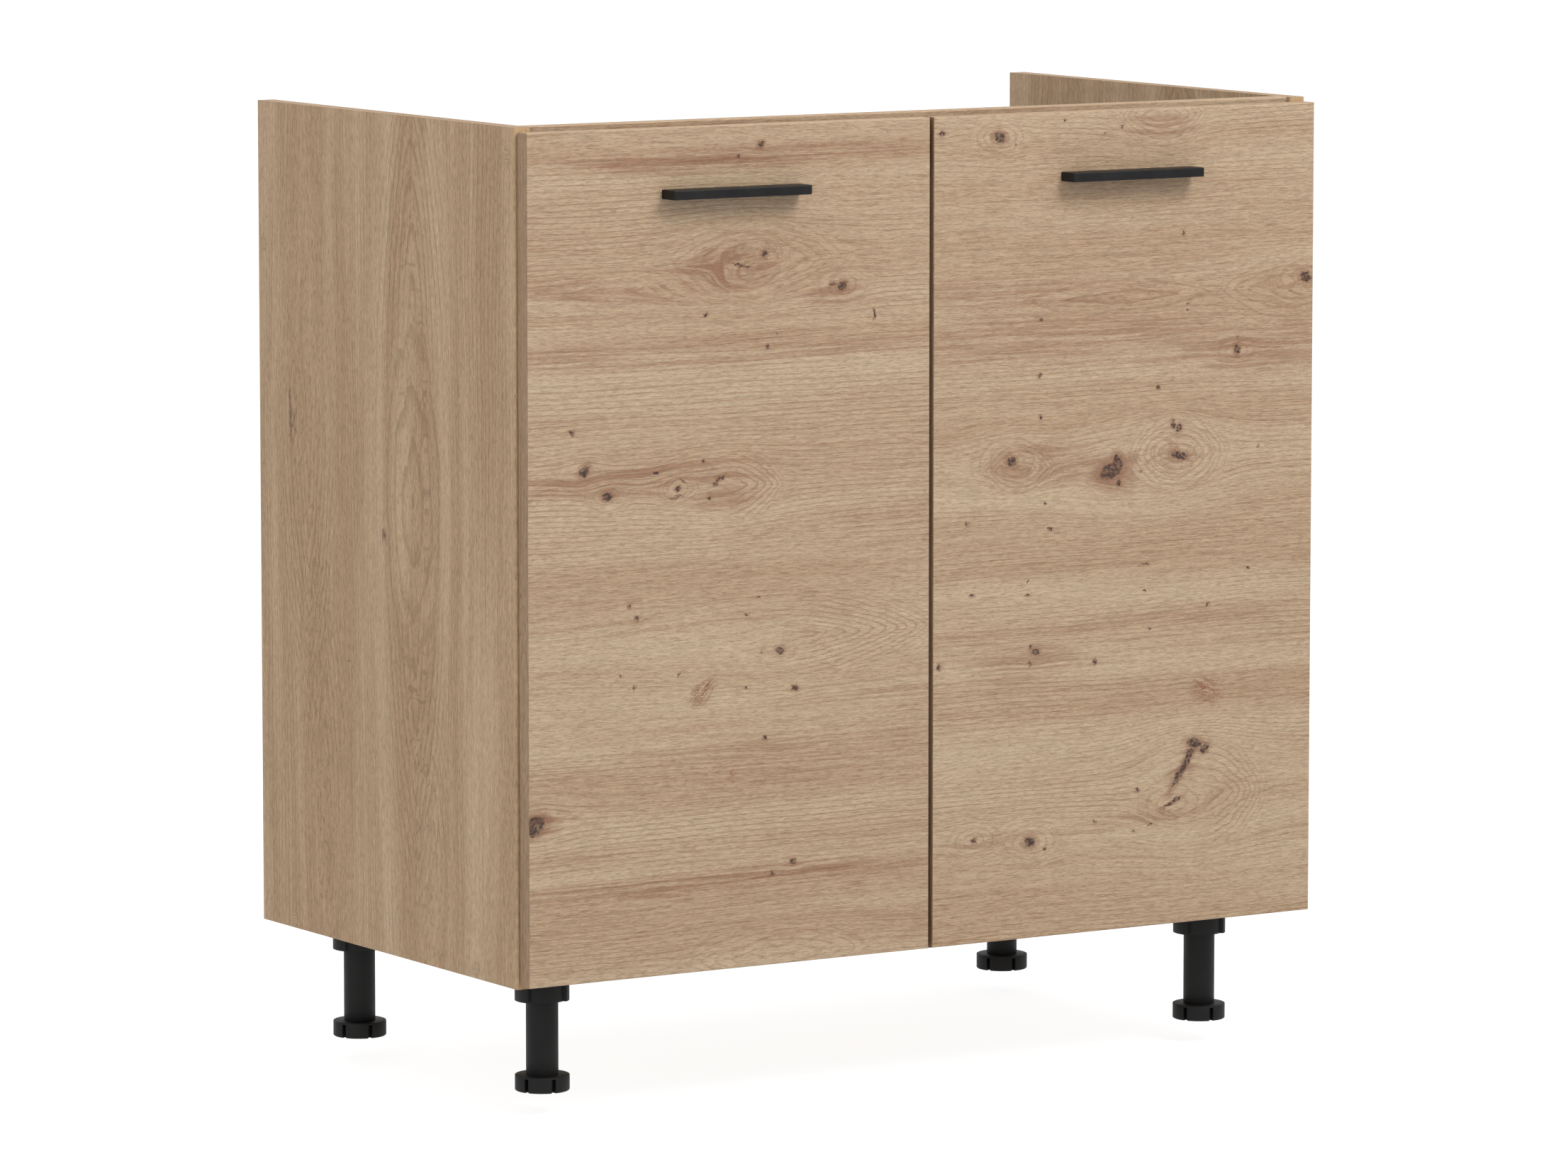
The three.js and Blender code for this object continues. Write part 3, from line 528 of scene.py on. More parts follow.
    def _parted(
        self, sheet: FinishSheet, along: Socket, across: Socket, unrest: Socket
    ) -> tuple[Socket, Value, Value]:
        """Leads the grain round all the figures and knots.

        Args:
            sheet: The node sheet.
            along: The place along the grain.
            across: The place across the grain.
            unrest: Noise that keeps the rings from being even.

        Returns:
            The new place across the grain, the rings, and how far the place is from all of them.
        """
        bent: Socket = across
        rings: Value = 0.0
        calm: Value = 1.0
        for shape in self._shapes():
            run, rise, square = self._local(sheet, (along, across), shape)
            near = sheet.sum("EXPONENT", sheet.sum("MULTIPLY", square, -1.0))
            push = sheet.sum("MULTIPLY", rise, near)
            bent = sheet.sum("MULTIPLY_ADD", push, -self.parting * shape.height * MM, bent)
            if not shape.rings:
                continue
            reach = sheet.remap(square, *RING_REACH)
            calm = sheet.sum("MULTIPLY", calm, sheet.sum("MULTIPLY_ADD", reach, -self.calming, 1.0))
            wobble = self.wobble * self.figuring.jag / (shape.rings + 1.0)
            radius = self._radius(sheet, shape.pointed, run, rise, square)
            radius = sheet.sum("MULTIPLY_ADD", unrest, wobble, radius)
            wave = sheet.sum("FRACT", sheet.sum("MULTIPLY", radius, shape.rings))
            ring = sheet.sum("MULTIPLY", sheet.remap(wave, *RING_EDGE, shape.strength), reach)
            if shape.open_end:
                turned = sheet.sum("MULTIPLY", run, float(shape.open_end))
                ring = sheet.sum("MULTIPLY", ring, sheet.remap(turned, *OPEN_END))
            rings = sheet.sum("MAXIMUM", rings, ring)
        drawn = [sheet.sum("MULTIPLY", way, rate) for way, rate in zip((along, across), self.wander_rate)]
        wander = sheet.noise(sheet.join(*drawn, self.seed + self.wander_place), 1.0, 2.0)
        return sheet.sum("MULTIPLY_ADD", wander, self.figuring.wander, bent), rings, calm

    def _radius(
        self, sheet: FinishSheet, pointed: bool, run: Socket, rise: Socket, square: Socket
    ) -> Socket:
        """Measures how far out a ring lies.

        Args:
            sheet: The node sheet.
            pointed: Whether the rings end in points, as those of a figure do.
            run: The place along the mark.
            rise: The place across the mark.
            square: The distance from its middle, squared.

        Returns:
            How far out the rings are counted, which is oval round a knot.
        """
        if not pointed:
            return sheet.sum("SQRT", square)
        side = sheet.sum("SQRT", sheet.sum("MULTIPLY_ADD", rise, rise, self.point_rounding))
        return sheet.sum("MULTIPLY_ADD", run, run, side)

    def _shapes(self) -> list[Figure]:
        """Gathers the shapes that the grain is led round.

        Returns:
            The figures, and the rings round the knots that part the grain.
        """
        parted = [
            Figure(knot.along, knot.across, knot.parting * self.knot_stretch, knot.parting,
                   knot.rings * self.knot_rings, 0, self.knot_ring_strength, False)
            for knot in self.knots
            if knot.parting
        ]
        return [*self.figures, *parted]

    def _growth_lines(
        self, sheet: FinishSheet, along: Socket, bent: Socket, calm: Value
    ) -> tuple[Socket, Socket]:
        """Draws the thin ragged lines of late wood, which run on and wander away from the figures.

        Args:
            sheet: The node sheet.
            along: The place along the grain.
            bent: The place across the grain, led round the figures.
            calm: How far the place is from all of them.

        Returns:
            The dark lines, and the pale lip beside each one, painted as the highlight of a raised edge.
        """
        drift = self._grain(sheet, along, bent, DRIFT)
        drifted = sheet.sum("MULTIPLY", drift, self.drifting)
        count = sheet.sum("MULTIPLY_ADD", bent, self.figuring.line_rate, drifted)
        ragged = self._grain(sheet, along, bent, JITTER)
        wave = sheet.sum("FRACT", sheet.sum("MULTIPLY_ADD", ragged, self.figuring.ragged, count))
        shown = sheet.remap(self._grain(sheet, along, bent, LINED), *LINES_SHOWN)
        shown = sheet.sum("MULTIPLY", shown, calm)
        line = sheet.sum("MULTIPLY", sheet.remap(wave, *LINE_EDGE), shown)
        # Painted highlight: a pale lip just past each dark line, in place of light on a raised edge.
        painted_line_highlight = sheet.sum("MULTIPLY", sheet.remap(wave, *PAINTED_HIGHLIGHT_EDGE), shown)
        return line, painted_line_highlight

    def _knots(self, sheet: FinishSheet, ragged: tuple[Socket, Socket]) -> tuple[Value, Value]:
        """Draws the knots.

        Args:
            sheet: The node sheet.
            ragged: The shaken place.

        Returns:
            How strongly the dark hearts show, and the red wood about them.
        """
        heart: Value = 0.0
        halo: Value = 0.0
        for knot in self.knots:
            square = self._local(sheet, ragged, knot, knot.turn)[2]
            dark = sheet.remap(square, *HEART_EDGE, self.heart_strength * knot.depth)
            heart = sheet.sum("MAXIMUM", heart, dark)
            red = sheet.remap(square, *HALO_EDGE, self.halo_strength * knot.depth)
            halo = sheet.sum("MAXIMUM", halo, red)
        return heart, halo

    def _stains(self, sheet: FinishSheet, ragged: tuple[Socket, Socket], streaks: Socket) -> Value:
        """Draws the streaks and patches of darker wood.

        Args:
            sheet: The node sheet.
            ragged: The shaken place.
            streaks: Noise that breaks the stains into streaks.

        Returns:
            How strongly a stain shows.
        """
        stain: Value = 0.0
        broken = sheet.remap(streaks, *STAIN_BREAKS)
        for mark in self.stains:
            run, rise, square = self._local(sheet, ragged, mark, mark.turn)
            shown = sheet.remap(square, *STAIN_EDGE, mark.strength)
            texture = broken
            if mark.flecks:
                drawn = sheet.join(run, sheet.sum("MULTIPLY", rise, mark.flecks), self.seed)
                texture = sheet.remap(sheet.noise(drawn, self.fleck_scale, 2.0), *FLECK_EDGE)
            stain = sheet.sum("MAXIMUM", stain, sheet.sum("MULTIPLY", shown, texture))
        return stain

    @staticmethod
    def _local(
        sheet: FinishSheet, place: tuple[Socket, Socket], mark: Mark, turn: float = 0.0
    ) -> tuple[Socket, Socket, Socket]:
        """Measures a place from the middle of a mark.

        Args:
            sheet: The node sheet.
            place: The place along and across the grain.
            mark: The mark.
            turn: How far the mark is turned, in degrees.

        Returns:
            The place along and across the mark, whose edge is at 1, and its distance squared.
        """
        found = []
        for size, angle in ((mark.length, turn), (mark.height, turn + 90.0)):
            run = math.cos(math.radians(angle)) / (size * MM)
            rise = math.sin(math.radians(angle)) / (size * MM)
            value: Value = -(run * mark.along + rise * mark.across) * MM
            for share, part in ((rise, place[1]), (run, place[0])):
                if abs(share * size * MM) > 1e-6:
                    value = sheet.sum("MULTIPLY_ADD", part, share, value)
            found.append(value)
        square = sheet.sum("MULTIPLY_ADD", found[0], found[0], sheet.sum("MULTIPLY", found[1], found[1]))
        return found[0], found[1], square

    def _grain(self, sheet: FinishSheet, along: Socket, across: Socket, layer: Layer) -> Socket:
        """Makes one layer of noise that is drawn out along the grain.

        Args:
            sheet: The node sheet.
            along: The place along the grain.
            across: The place across the grain.
            layer: How the noise is drawn out.

        Returns:
            The noise, from 0 to 1.
        """
        place = sheet.join(
            sheet.sum("MULTIPLY", along, layer.along),
            sheet.sum("MULTIPLY", across, layer.across),
            self.seed + layer.place * LAYER_STEP,
        )
        return sheet.noise(place, 1.0, layer.detail, LAYER_ROUGH)


# ---------------------------------------------------------------- other finishes

CLOUD_EDGE = (0.35, 0.7)
MIDDLE_TONES = (0.3, 0.7)


@dataclass(frozen=True)
class MouldedPlastic:
    """Matt black moulded plastic with a fine spark-eroded skin and faint rub marks."""

    name: str = "moulded_black_plastic"
    colour: Colour = (0.0042, 0.0041, 0.0041)
    rubbed: Colour = (0.0085, 0.0083, 0.0082)
    skin_scale: float = 2600.0
    cloud_scale: float = 38.0
    rub_draw: Point = (600.0, 600.0, 60.0)
    rub_edge: tuple[float, float] = (0.60, 0.78)
    rub_strength: float = 0.35
    roughness: tuple[float, float] = (0.50, 0.62)
    specular: float = 0.19
    skin_depth: float = 0.00005

    def build(self) -> bpy.types.Material:
        """Makes the material.

        Returns:
            The finished material.
        """
        sheet = FinishSheet(self.name)
        place = sheet.where.outputs["Object"]
        skin = sheet.noise(place, self.skin_scale, 2.0, 0.6)
        cloud = sheet.noise(place, self.cloud_scale, 4.0, 0.6)
        drawn = sheet.vector("MULTIPLY", place, self.rub_draw)
        rubs = sheet.remap(sheet.noise(drawn, 1.0, 3.0, 0.6), *self.rub_edge)
        shade = sheet.blend(sheet.remap(cloud, *CLOUD_EDGE), self.colour, self.rubbed)
        shade = sheet.blend(sheet.sum("MULTIPLY", rubs, self.rub_strength), shade, self.rubbed)
        sheet.paint(shade, sheet.remap(cloud, *MIDDLE_TONES, *self.roughness), self.specular)
        sheet.relief(skin, self.skin_depth, 0.5)
        return sheet.material


@dataclass(frozen=True)
class PowderCoat:
    """Black powder coat on a metal pull, with a fine even texture."""

    name: str = "black_powder_coat"
    colour: Colour = (0.0040, 0.0038, 0.0038)
    worn: Colour = (0.0076, 0.0073, 0.0073)
    peel_scale: float = 1500.0
    cloud_scale: float = 55.0
    roughness: tuple[float, float] = (0.40, 0.54)
    specular: float = 0.20
    peel_depth: float = 0.00004

    def build(self) -> bpy.types.Material:
        """Makes the material.

        Returns:
            The finished material.
        """
        sheet = FinishSheet(self.name)
        place = sheet.where.outputs["Object"]
        peel = sheet.noise(place, self.peel_scale, 2.0)
        cloud = sheet.noise(place, self.cloud_scale, 3.0, 0.6)
        shade = sheet.blend(sheet.remap(cloud, *CLOUD_EDGE), self.colour, self.worn)
        sheet.paint(shade, sheet.remap(peel, *MIDDLE_TONES, *self.roughness), self.specular)
        sheet.relief(peel, self.peel_depth, 0.5)
        return sheet.material


@dataclass(frozen=True)
class Plating:
    """A thin bright metal coat on pressed steel, drawn one way and slightly clouded."""

    name: str
    bright: Colour
    dull: Colour
    smooth: float
    rough: float
    draw: Point = (120.0, 120.0, 2200.0)
    cloud_scale: float = 140.0
    draw_depth: float = 0.00002
    draw_strength: float = 0.35

    def build(self) -> bpy.types.Material:
        """Makes the material.

        Returns:
            The finished material.
        """
        sheet = FinishSheet(self.name)
        place = sheet.where.outputs["Object"]
        drawn = sheet.noise(sheet.vector("MULTIPLY", place, self.draw), 1.0, 3.0, 0.6)
        cloud = sheet.noise(place, self.cloud_scale, 3.0, 0.6)
        shade = sheet.blend(sheet.remap(cloud, *MIDDLE_TONES), self.bright, self.dull)
        sheet.feed(sheet.surface.inputs["Base Color"], shade)
        sheet.surface.inputs["Metallic"].default_value = 1.0
        mixed = sheet.sum("MULTIPLY_ADD", drawn, 0.5, sheet.sum("MULTIPLY", cloud, 0.5))
        roughness = sheet.remap(mixed, *MIDDLE_TONES, self.smooth, self.rough)
        sheet.feed(sheet.surface.inputs["Roughness"], roughness)
        sheet.relief(drawn, self.draw_depth, self.draw_strength)
        return sheet.material


NICKEL = Plating("nickel_plating", (0.66, 0.65, 0.63), (0.52, 0.515, 0.50), 0.20, 0.38)
ZINC = Plating("zinc_plating", (0.58, 0.59, 0.61), (0.42, 0.43, 0.45), 0.28, 0.48)


@dataclass(frozen=True)
class PaleFloor:
    """The plain pale floor of the picture, bright enough to hold only faint shadows."""

    name: str = "pale_floor"
    colour: Colour = (0.25, 0.25, 0.25)
    shaded: Colour = (0.24, 0.24, 0.24)
    cloud_scale: float = 0.8
    roughness: float = 0.9
    specular: float = 0.1
    glow: float = 0.86

    def build(self) -> bpy.types.Material:
        """Makes the material.

        Returns:
            The finished material.
        """
        sheet = FinishSheet(self.name)
        cloud = sheet.noise(sheet.where.outputs["Object"], self.cloud_scale, 2.0)
        sheet.paint(sheet.blend(cloud, self.colour, self.shaded), self.roughness, self.specular)
        sheet.surface.inputs["Emission Color"].default_value = WHITE
        sheet.surface.inputs["Emission Strength"].default_value = self.glow
        return sheet.material


# ---------------------------------------------------------------- piece making


class Finish(Protocol):
    """A finish, which can make its own material."""

    def build(self) -> bpy.types.Material:
        """Makes the material."""


@cache
def material_of(finish: Finish) -> bpy.types.Material:
    """The material of a finish, made when the first piece asks for it."""
    return finish.build()


def dress(node: str, finish: Finish) -> None:
    """Gives a carried-over solid its finish.

    Args:
        node: The name of the solid.
        finish: What it is finished with.
    """
    shown: bpy.types.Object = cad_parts[node]
    material = material_of(finish)
    shown.data.materials.clear()
    shown.data.materials.append(material)
    for held in shown.material_slots:
        held.material = material
    log.info("%s: carried over, %s", node, material.name)


def as_data(mesh: bmesh.types.BMesh, name: str) -> bpy.types.Mesh:
    """Turns a shape into mesh data.

    Args:
        mesh: The shape, freed by the call.
        name: What the data is called.

    Returns:
        The mesh data.
    """
    data = bpy.data.meshes.new(name)
    mesh.to_mesh(data)
    mesh.free()
    return data


def pour(mesh: bmesh.types.BMesh, whole: bmesh.types.BMesh) -> None:
    """Adds one shape to another.

    Args:
        mesh: The shape to add, freed by the call.
        whole: The shape that it becomes a part of.
    """
    data = as_data(mesh, "spare")
    whole.from_mesh(data)
    bpy.data.meshes.remove(data)


def put_in_scene(name: str, data: bpy.types.ID) -> bpy.types.Object:
    """Links an object into the scene.

    Args:
        name: What the object is called.
        data: A mesh, a camera or a light.

    Returns:
        The new object.
    """
    made = bpy.data.objects.new(name, data)
    bpy.context.scene.collection.objects.link(made)
    return made


def finish_piece(
    mesh: bmesh.types.BMesh, name: str, body: str, finish: Finish, angle: float = 34.0
) -> bpy.types.Object:
    """Turns a bmesh into a piece that rides on a body.

    Args:
        mesh: The shape, in place, in metres.
        name: The piece's name.
        body: The body it rides on.
        finish: What it is finished with.
        angle: Edges sharper than this, in degrees, stay sharp.

    Returns:
        The new object.
    """
    bmesh.ops.remove_doubles(mesh, verts=mesh.verts, dist=1e-6)
    bmesh.ops.recalc_face_normals(mesh, faces=mesh.faces)
    for edge in mesh.edges:
        edge.smooth = edge.calc_face_angle(math.pi) < math.radians(angle)
    for face in mesh.faces:
        face.smooth = True
    data = as_data(mesh, name)
    data.materials.append(material_of(finish))
    piece = put_in_scene(name, data)
    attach(piece, body)
    log.info("%s: %d faces, rides on %s, %s", name, len(data.polygons), body, data.materials[0].name)
    return piece


def outline(mesh: bmesh.types.BMesh, profile: Profile) -> list[bmesh.types.BMVert | bmesh.types.BMEdge]:
    """Draws radius and height pairs in mm as a line of points and edges in the plane of X and Z."""
    points = [mesh.verts.new((radius * MM, 0.0, height * MM)) for radius, height in profile]
    return [*points, *(mesh.edges.new(pair) for pair in zip(points, points[1:]))]


def spin_profile(profile: Profile, steps: int) -> bmesh.types.BMesh:
    """Turns a profile about Z into a closed shape.

    Args:
        profile: Radius and height pairs in mm, from one point of the axis to another.
        steps: How many steps make the full turn.

    Returns:
        The turned shape.
    """
    mesh = bmesh.new()
    bmesh.ops.spin(
        mesh, geom=outline(mesh, profile), cent=ORIGIN, axis=UP, angle=math.tau, steps=steps, use_merge=True)
    bmesh.ops.remove_doubles(mesh, verts=mesh.verts, dist=1e-7)
    bmesh.ops.recalc_face_normals(mesh, faces=mesh.faces)
    return mesh


def box_mesh(low: Point, high: Point) -> bmesh.types.BMesh:
    """Makes a box.

    Args:
        low: The low corner in mm.
        high: The high corner in mm.

    Returns:
        The box's mesh.
    """
    mesh = bmesh.new()
    bmesh.ops.create_cube(mesh, size=1.0)
    span = Vector(high) - Vector(low)
    middle = (Vector(high) + Vector(low)) / 2
    bmesh.ops.scale(mesh, vec=span * MM, verts=mesh.verts)
    bmesh.ops.translate(mesh, vec=middle * MM, verts=mesh.verts)
    return mesh


def cut_away(mesh: bmesh.types.BMesh, tools: list[bmesh.types.BMesh]) -> bmesh.types.BMesh:
    """Cuts shapes out of another.

    Args:
        mesh: The blank, used up by the call.
        tools: The shapes to cut out, used up too.

    Returns:
        What is left of the blank.
    """
    blank, *cutters = [put_in_scene("blank", as_data(shape, "blank")) for shape in (mesh, *tools)]
    for cutter in cutters:
        step = blank.modifiers.new("cut", "BOOLEAN")
        step.operation = "DIFFERENCE"
        step.solver = "EXACT"
        step.object = cutter
    bpy.context.view_layer.update()
    seen = blank.evaluated_get(bpy.context.evaluated_depsgraph_get())
    left = bmesh.new()
    left.from_mesh(seen.to_mesh())
    seen.to_mesh_clear()
    for spare in (blank, *cutters):
        data = spare.data
        bpy.data.objects.remove(spare)
        bpy.data.meshes.remove(data)
    return left


def soften(mesh: bmesh.types.BMesh, width: float, angle: float) -> None:
    """Bevels the sharp edges of a closed shape.

    Args:
        mesh: The shape.
        width: The bevel's width in mm.
        angle: Edges sharper than this, in degrees, are bevelled.
    """
    limit = math.radians(angle)
    sharp = [edge for edge in mesh.edges if edge.is_manifold and edge.calc_face_angle(0.0) > limit]
    bmesh.ops.bevel(
        mesh, geom=sharp, offset=width * MM, offset_type="OFFSET", segments=2, profile=0.5,
        affect="EDGES", clamp_overlap=True, material=-1)


def copies(template: bmesh.types.BMesh, places: list[Matrix]) -> bmesh.types.BMesh:
    """Repeats a shape at several places.

    Args:
        template: The shape, freed by the call.
        places: Where each copy goes.

    Returns:
        All the copies in one mesh.
    """
    data = as_data(template, "template")
    whole = bmesh.new()
    for place in places:
        before = len(whole.verts)
        whole.from_mesh(data)
        whole.verts.ensure_lookup_table()
        bmesh.ops.transform(whole, matrix=place, verts=whole.verts[before:])
    bpy.data.meshes.remove(data)
    return whole


def node_copy(node: str) -> bmesh.types.BMesh:
    """Copies a carried-over solid.

    Args:
        node: The name of the solid.

    Returns:
        A merged copy, with its flat faces whole again.
    """
    mesh = bmesh.new()
    mesh.from_mesh(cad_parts[node].data)
    bmesh.ops.remove_doubles(mesh, verts=mesh.verts, dist=2e-6)
    flat = math.radians(1.0)
    bmesh.ops.dissolve_limit(
        mesh, angle_limit=flat, use_dissolve_boundaries=False, verts=mesh.verts, edges=mesh.edges)
    return mesh


# ---------------------------------------------------------------- screws


@dataclass
class Screw:
    """A small cross-head screw, drawn along +Z with the underside of its head at height zero. Sizes in mm."""

    head_radius: float
    head_height: float
    shank_radius: float
    shank_length: float
    countersunk: bool = False
    recess_radius: float = 1.9
    recess_depth: float = 1.1
    recess_width: float = 0.84
    recess_taper: Point = (0.45, 0.7, 1.0)
    tip: float = 0.4
    tip_taper: float = 0.8
    rim_height: float = 0.25
    crown_inset: float = 0.3
    crown_drop: float = 0.14
    steps: int = 28

    def build(self) -> bmesh.types.BMesh:
        """Shapes the screw.

        Returns:
            The screw's mesh.
        """
        shank, end, head, top = self.shank_radius, -self.shank_length, self.head_radius, self.head_height
        if self.countersunk:
            underside, flank, rim, crown = shank, top - self.rim_height, top - self.rim_height, top
        else:
            underside, flank, rim, crown = head, self.rim_height, top - 0.5, top - self.crown_drop
        profile = [
            (0.0, end), (shank * self.tip_taper, end), (shank, end + self.tip), (shank, 0.0),
            (underside, 0.0), (head, flank), (head, rim), (head - self.crown_inset, crown),
            (head * 0.55, top), (0.0, top),
        ]
        return cut_away(spin_profile(profile, self.steps), [self._arm(turn) for turn in (0.0, 90.0)])

    def _arm(self, turn: float) -> bmesh.types.BMesh:
        """Shapes one tapering arm of the cross recess.

        Args:
            turn: How far the arm is turned about the screw, in degrees.

        Returns:
            The shape to cut out.
        """
        half = self.recess_width / 2
        low = (-self.recess_radius, -half, self.head_height - self.recess_depth)
        high = (self.recess_radius, half, self.head_height + 1.0)
        arm = box_mesh(low, high)
        floor = [vert for vert in arm.verts if vert.co.z < (self.head_height - 0.5 * self.recess_depth) * MM]
        bmesh.ops.scale(arm, vec=self.recess_taper, verts=floor)
        turned = Matrix.Rotation(math.radians(turn), 3, "Z")
        bmesh.ops.rotate(arm, cent=ORIGIN, matrix=turned, verts=arm.verts)
        return arm


# ---------------------------------------------------------------- carcass

SIDE_FIGURING = Figuring(
    # Includes how strongly the painted highlight beside the growth lines shows.
    line_rate=165.0, lines=0.36, painted_line_highlights=0.30, ragged=0.18, rings=0.44, streaks=0.12, threads=0.20,
    dashes=0.42, dash=Layer(130.0, 620.0, 4.0), wander=0.008, jag=1.2, unrest=Layer(6.0, 45.0, 0.5),
)
SIDE_KNOTS = tuple(Knot(*row) for row in (
    (450, 387, 26, 1.6, 4, 26, 0, 0.62), (446, 381, 13, 1.2, -28, 0, 0, 0.5),
    (437, 378, 3.5, 2.0, 0, 0, 0, 0.5), (360, 222.5, 5.0, 3.6, 0, 9, 0, 0.62),
    (246, 285, 1.2, 2.6, 0, 0, 0, 0.55), (502, 201, 4.5, 1.2, 0, 0, 0, 0.35),
))
SIDE_FIGURES = tuple(Figure(*row) for row in (
    (395, 172, 140, 46, 3.2, 0, 0.85, False), (500, 172, 260, 52, 6.0, 1), (330, 168, 250, 48, 6.0, -1),
    (450, 355, 215, 46, 7.0, -1), (60, 140, 150, 34, 4.5, 1, 0.8), (120, 330, 190, 40, 5.0, 1, 0.7),
))


@dataclass
class Carcass:
    """Both sides, the bottom, the two rails, the joining screws and the caps that hide them. Sizes in mm."""

    cap_radius: float = 6.25
    cap_thickness: float = 0.4
    cap_steps: int = 56
    joints: tuple[str, ...] = ("front_rail", "rear_rail", "bottom_front", "bottom_rear")

    def build(self) -> None:
        """Dresses the boards and makes the caps."""
        for hand in Hand:
            self._side(hand)
            self._caps(hand)
            for joint in self.joints:
                dress(f"{hand.word}_{joint}_screw", ZINC)
        for seed, board in enumerate(("front_rail", "rear_rail", "bottom_panel")):
            corner = tuple(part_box(board)[0])
            dress(board, OakPrint(f"oak_{board}", LEVEL, RUSTIC, corner=corner, seed=40.0 + 9.0 * seed))

    def _side(self, hand: Hand) -> None:
        """Dresses one side panel with its upright grain.

        Args:
            hand: Which half of the cabinet.
        """
        node = f"{hand.word}_side"
        corner = tuple(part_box(node)[0])
        marks = {"knots": SIDE_KNOTS, "figures": SIDE_FIGURES}
        dress(node, OakPrint(f"oak_{node}", UPRIGHT, PLAIN, corner, 11.0, SIDE_FIGURING, **marks))

    def _caps(self, hand: Hand) -> None:
        """Makes the printed caps of one side, seated on its outer face.

        Args:
            hand: Which half of the cabinet.
        """
        nodes = [f"{hand.word}_{joint}_cap" for joint in self.joints]
        rim, thick = self.cap_radius, self.cap_thickness
        profile = [
            (0.0, 0.0), (rim, 0.0), (rim, thick * 0.35),
            (rim - thick * 0.35, thick * 0.8), (rim - thick * 1.2, thick), (0.0, thick),
        ]
        blank = spin_profile(profile, self.cap_steps)
        lie = Matrix.Rotation(hand.value * math.pi / 2, 4, "Y")
        places = []
        for node in nodes:
            low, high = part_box(node)
            middle = (Vector(low) + Vector(high)) / 2
            places.append(Matrix.Translation((hand.value * HALF_WIDTH * MM, middle.y, middle.z)) @ lie)
        figuring = Figuring(line_rate=420.0, lines=0.5)
        finish = OakPrint(f"oak_{hand.word}_caps", PLUGGED, CAP_TONES, seed=23.0, figuring=figuring)
        caps = finish_piece(copies(blank, places), f"{hand.word}_caps", "carcass", finish)
        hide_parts(*nodes)


# ---------------------------------------------------------------- doors


LEFT_KNOTS = tuple(Knot(*row) for row in (
    (227, 696, 3.4, 2.6, 20, 8), (205, 687, 2.0, 1.3), (207, 595.5, 10.5, 1.0, -12, 26, 2.5),
    (230.5, 604, 3.4, 3.0, 60, 14, 2), (308, 574, 4.6, 3.6, 50, 14, 1.5), (299, 576, 3.0, 1.4),
    (172.5, 555.5, 1.8, 1.6), (243.5, 536.5, 1.0, 1.0), (233, 526, 1.8, 1.6), (340, 549, 1.0, 4.4),
    (42, 463, 2.0, 2.6, 60), (54, 430, 5.6, 4.0, 40, 14), (124, 425.5, 2.2, 1.3), (170, 432.5, 1.7, 1.4),
    (76, 408.5, 5.2, 3.6, 0, 12, 1.5), (145, 411, 2.4, 2.0, 20, 13, 3.2),
    (143, 404, 6.5, 1.2, 8, 0, 0, 0.7), (150, 417, 5.0, 1.0, -35, 0, 0, 0.6), (187, 417, 5.0, 1.7, 24),
    (182, 413, 2.4, 1.6), (176, 402, 2.2, 1.6), (97.5, 314.5, 1.8, 1.3), (105, 304.5, 2.4, 1.8, 0, 6),
    (213, 300, 1.6, 1.0), (225, 314.5, 1.2, 0.9), (245.5, 268, 4.2, 3.0, 0, 12), (227, 268, 1.4, 0.9),
    (89, 257, 1.1, 0.9), (102, 246, 1.6, 1.1), (146.5, 254.5, 1.2, 1.2), (212, 238, 1.5, 0.9),
    (260.5, 235, 3.4, 2.4, 0, 8), (231, 194.5, 1.9, 2.2), (6.5, 138, 9.5, 7.5, 20, 22),
    (4, 133, 4.0, 6.0, -20), (259, 87, 2.9, 2.6, 0, 7), (238, 77.5, 2.0, 1.4),
))
LEFT_FIGURES = tuple(Figure(*row) for row in (
    (192, 410, 52, 27, 5.0, 1, 0.9), (214, 600, 84, 30, 4.0, 0, 0.5), (240, 280, 148, 34, 8.0, 1, 0.8),
    (245, 8, 90, 26, 4.0, 0, 0.45), (130, 578, 120, 16, 2.0, -1, 0.4),
))
LEFT_STAINS = tuple(Stain(*row) for row in (
    (210, 687, 250, 10, 0.62), (215, 685, 120, 4, 0.85), (95, 683, 90, 8, 0.6, -4),
    (200, 78, 260, 10, 0.60), (230, 77, 150, 4, 0.85), (95, 76, 60, 9, 0.6, -10), (185, 592, 60, 22, 0.75),
    (60, 578, 90, 12, 0.5, -6), (150, 524, 300, 14, 0.42), (110, 420, 130, 18, 0.62),
    (190, 408, 46, 22, 0.6), (30, 420, 60, 7, 0.6, 18), (170, 238, 20, 11, 1.0, 42, 6),
    (166, 232, 11, 6, 0.9, 42, 4), (198, 165, 6, 5, 0.8, 60, 3), (300, 568, 40, 12, 0.55),
    (300, 180, 200, 30, 0.28), (120, 300, 250, 10, 0.28), (340, 225, 120, 16, 0.32), (10, 138, 26, 14, 0.7),
))

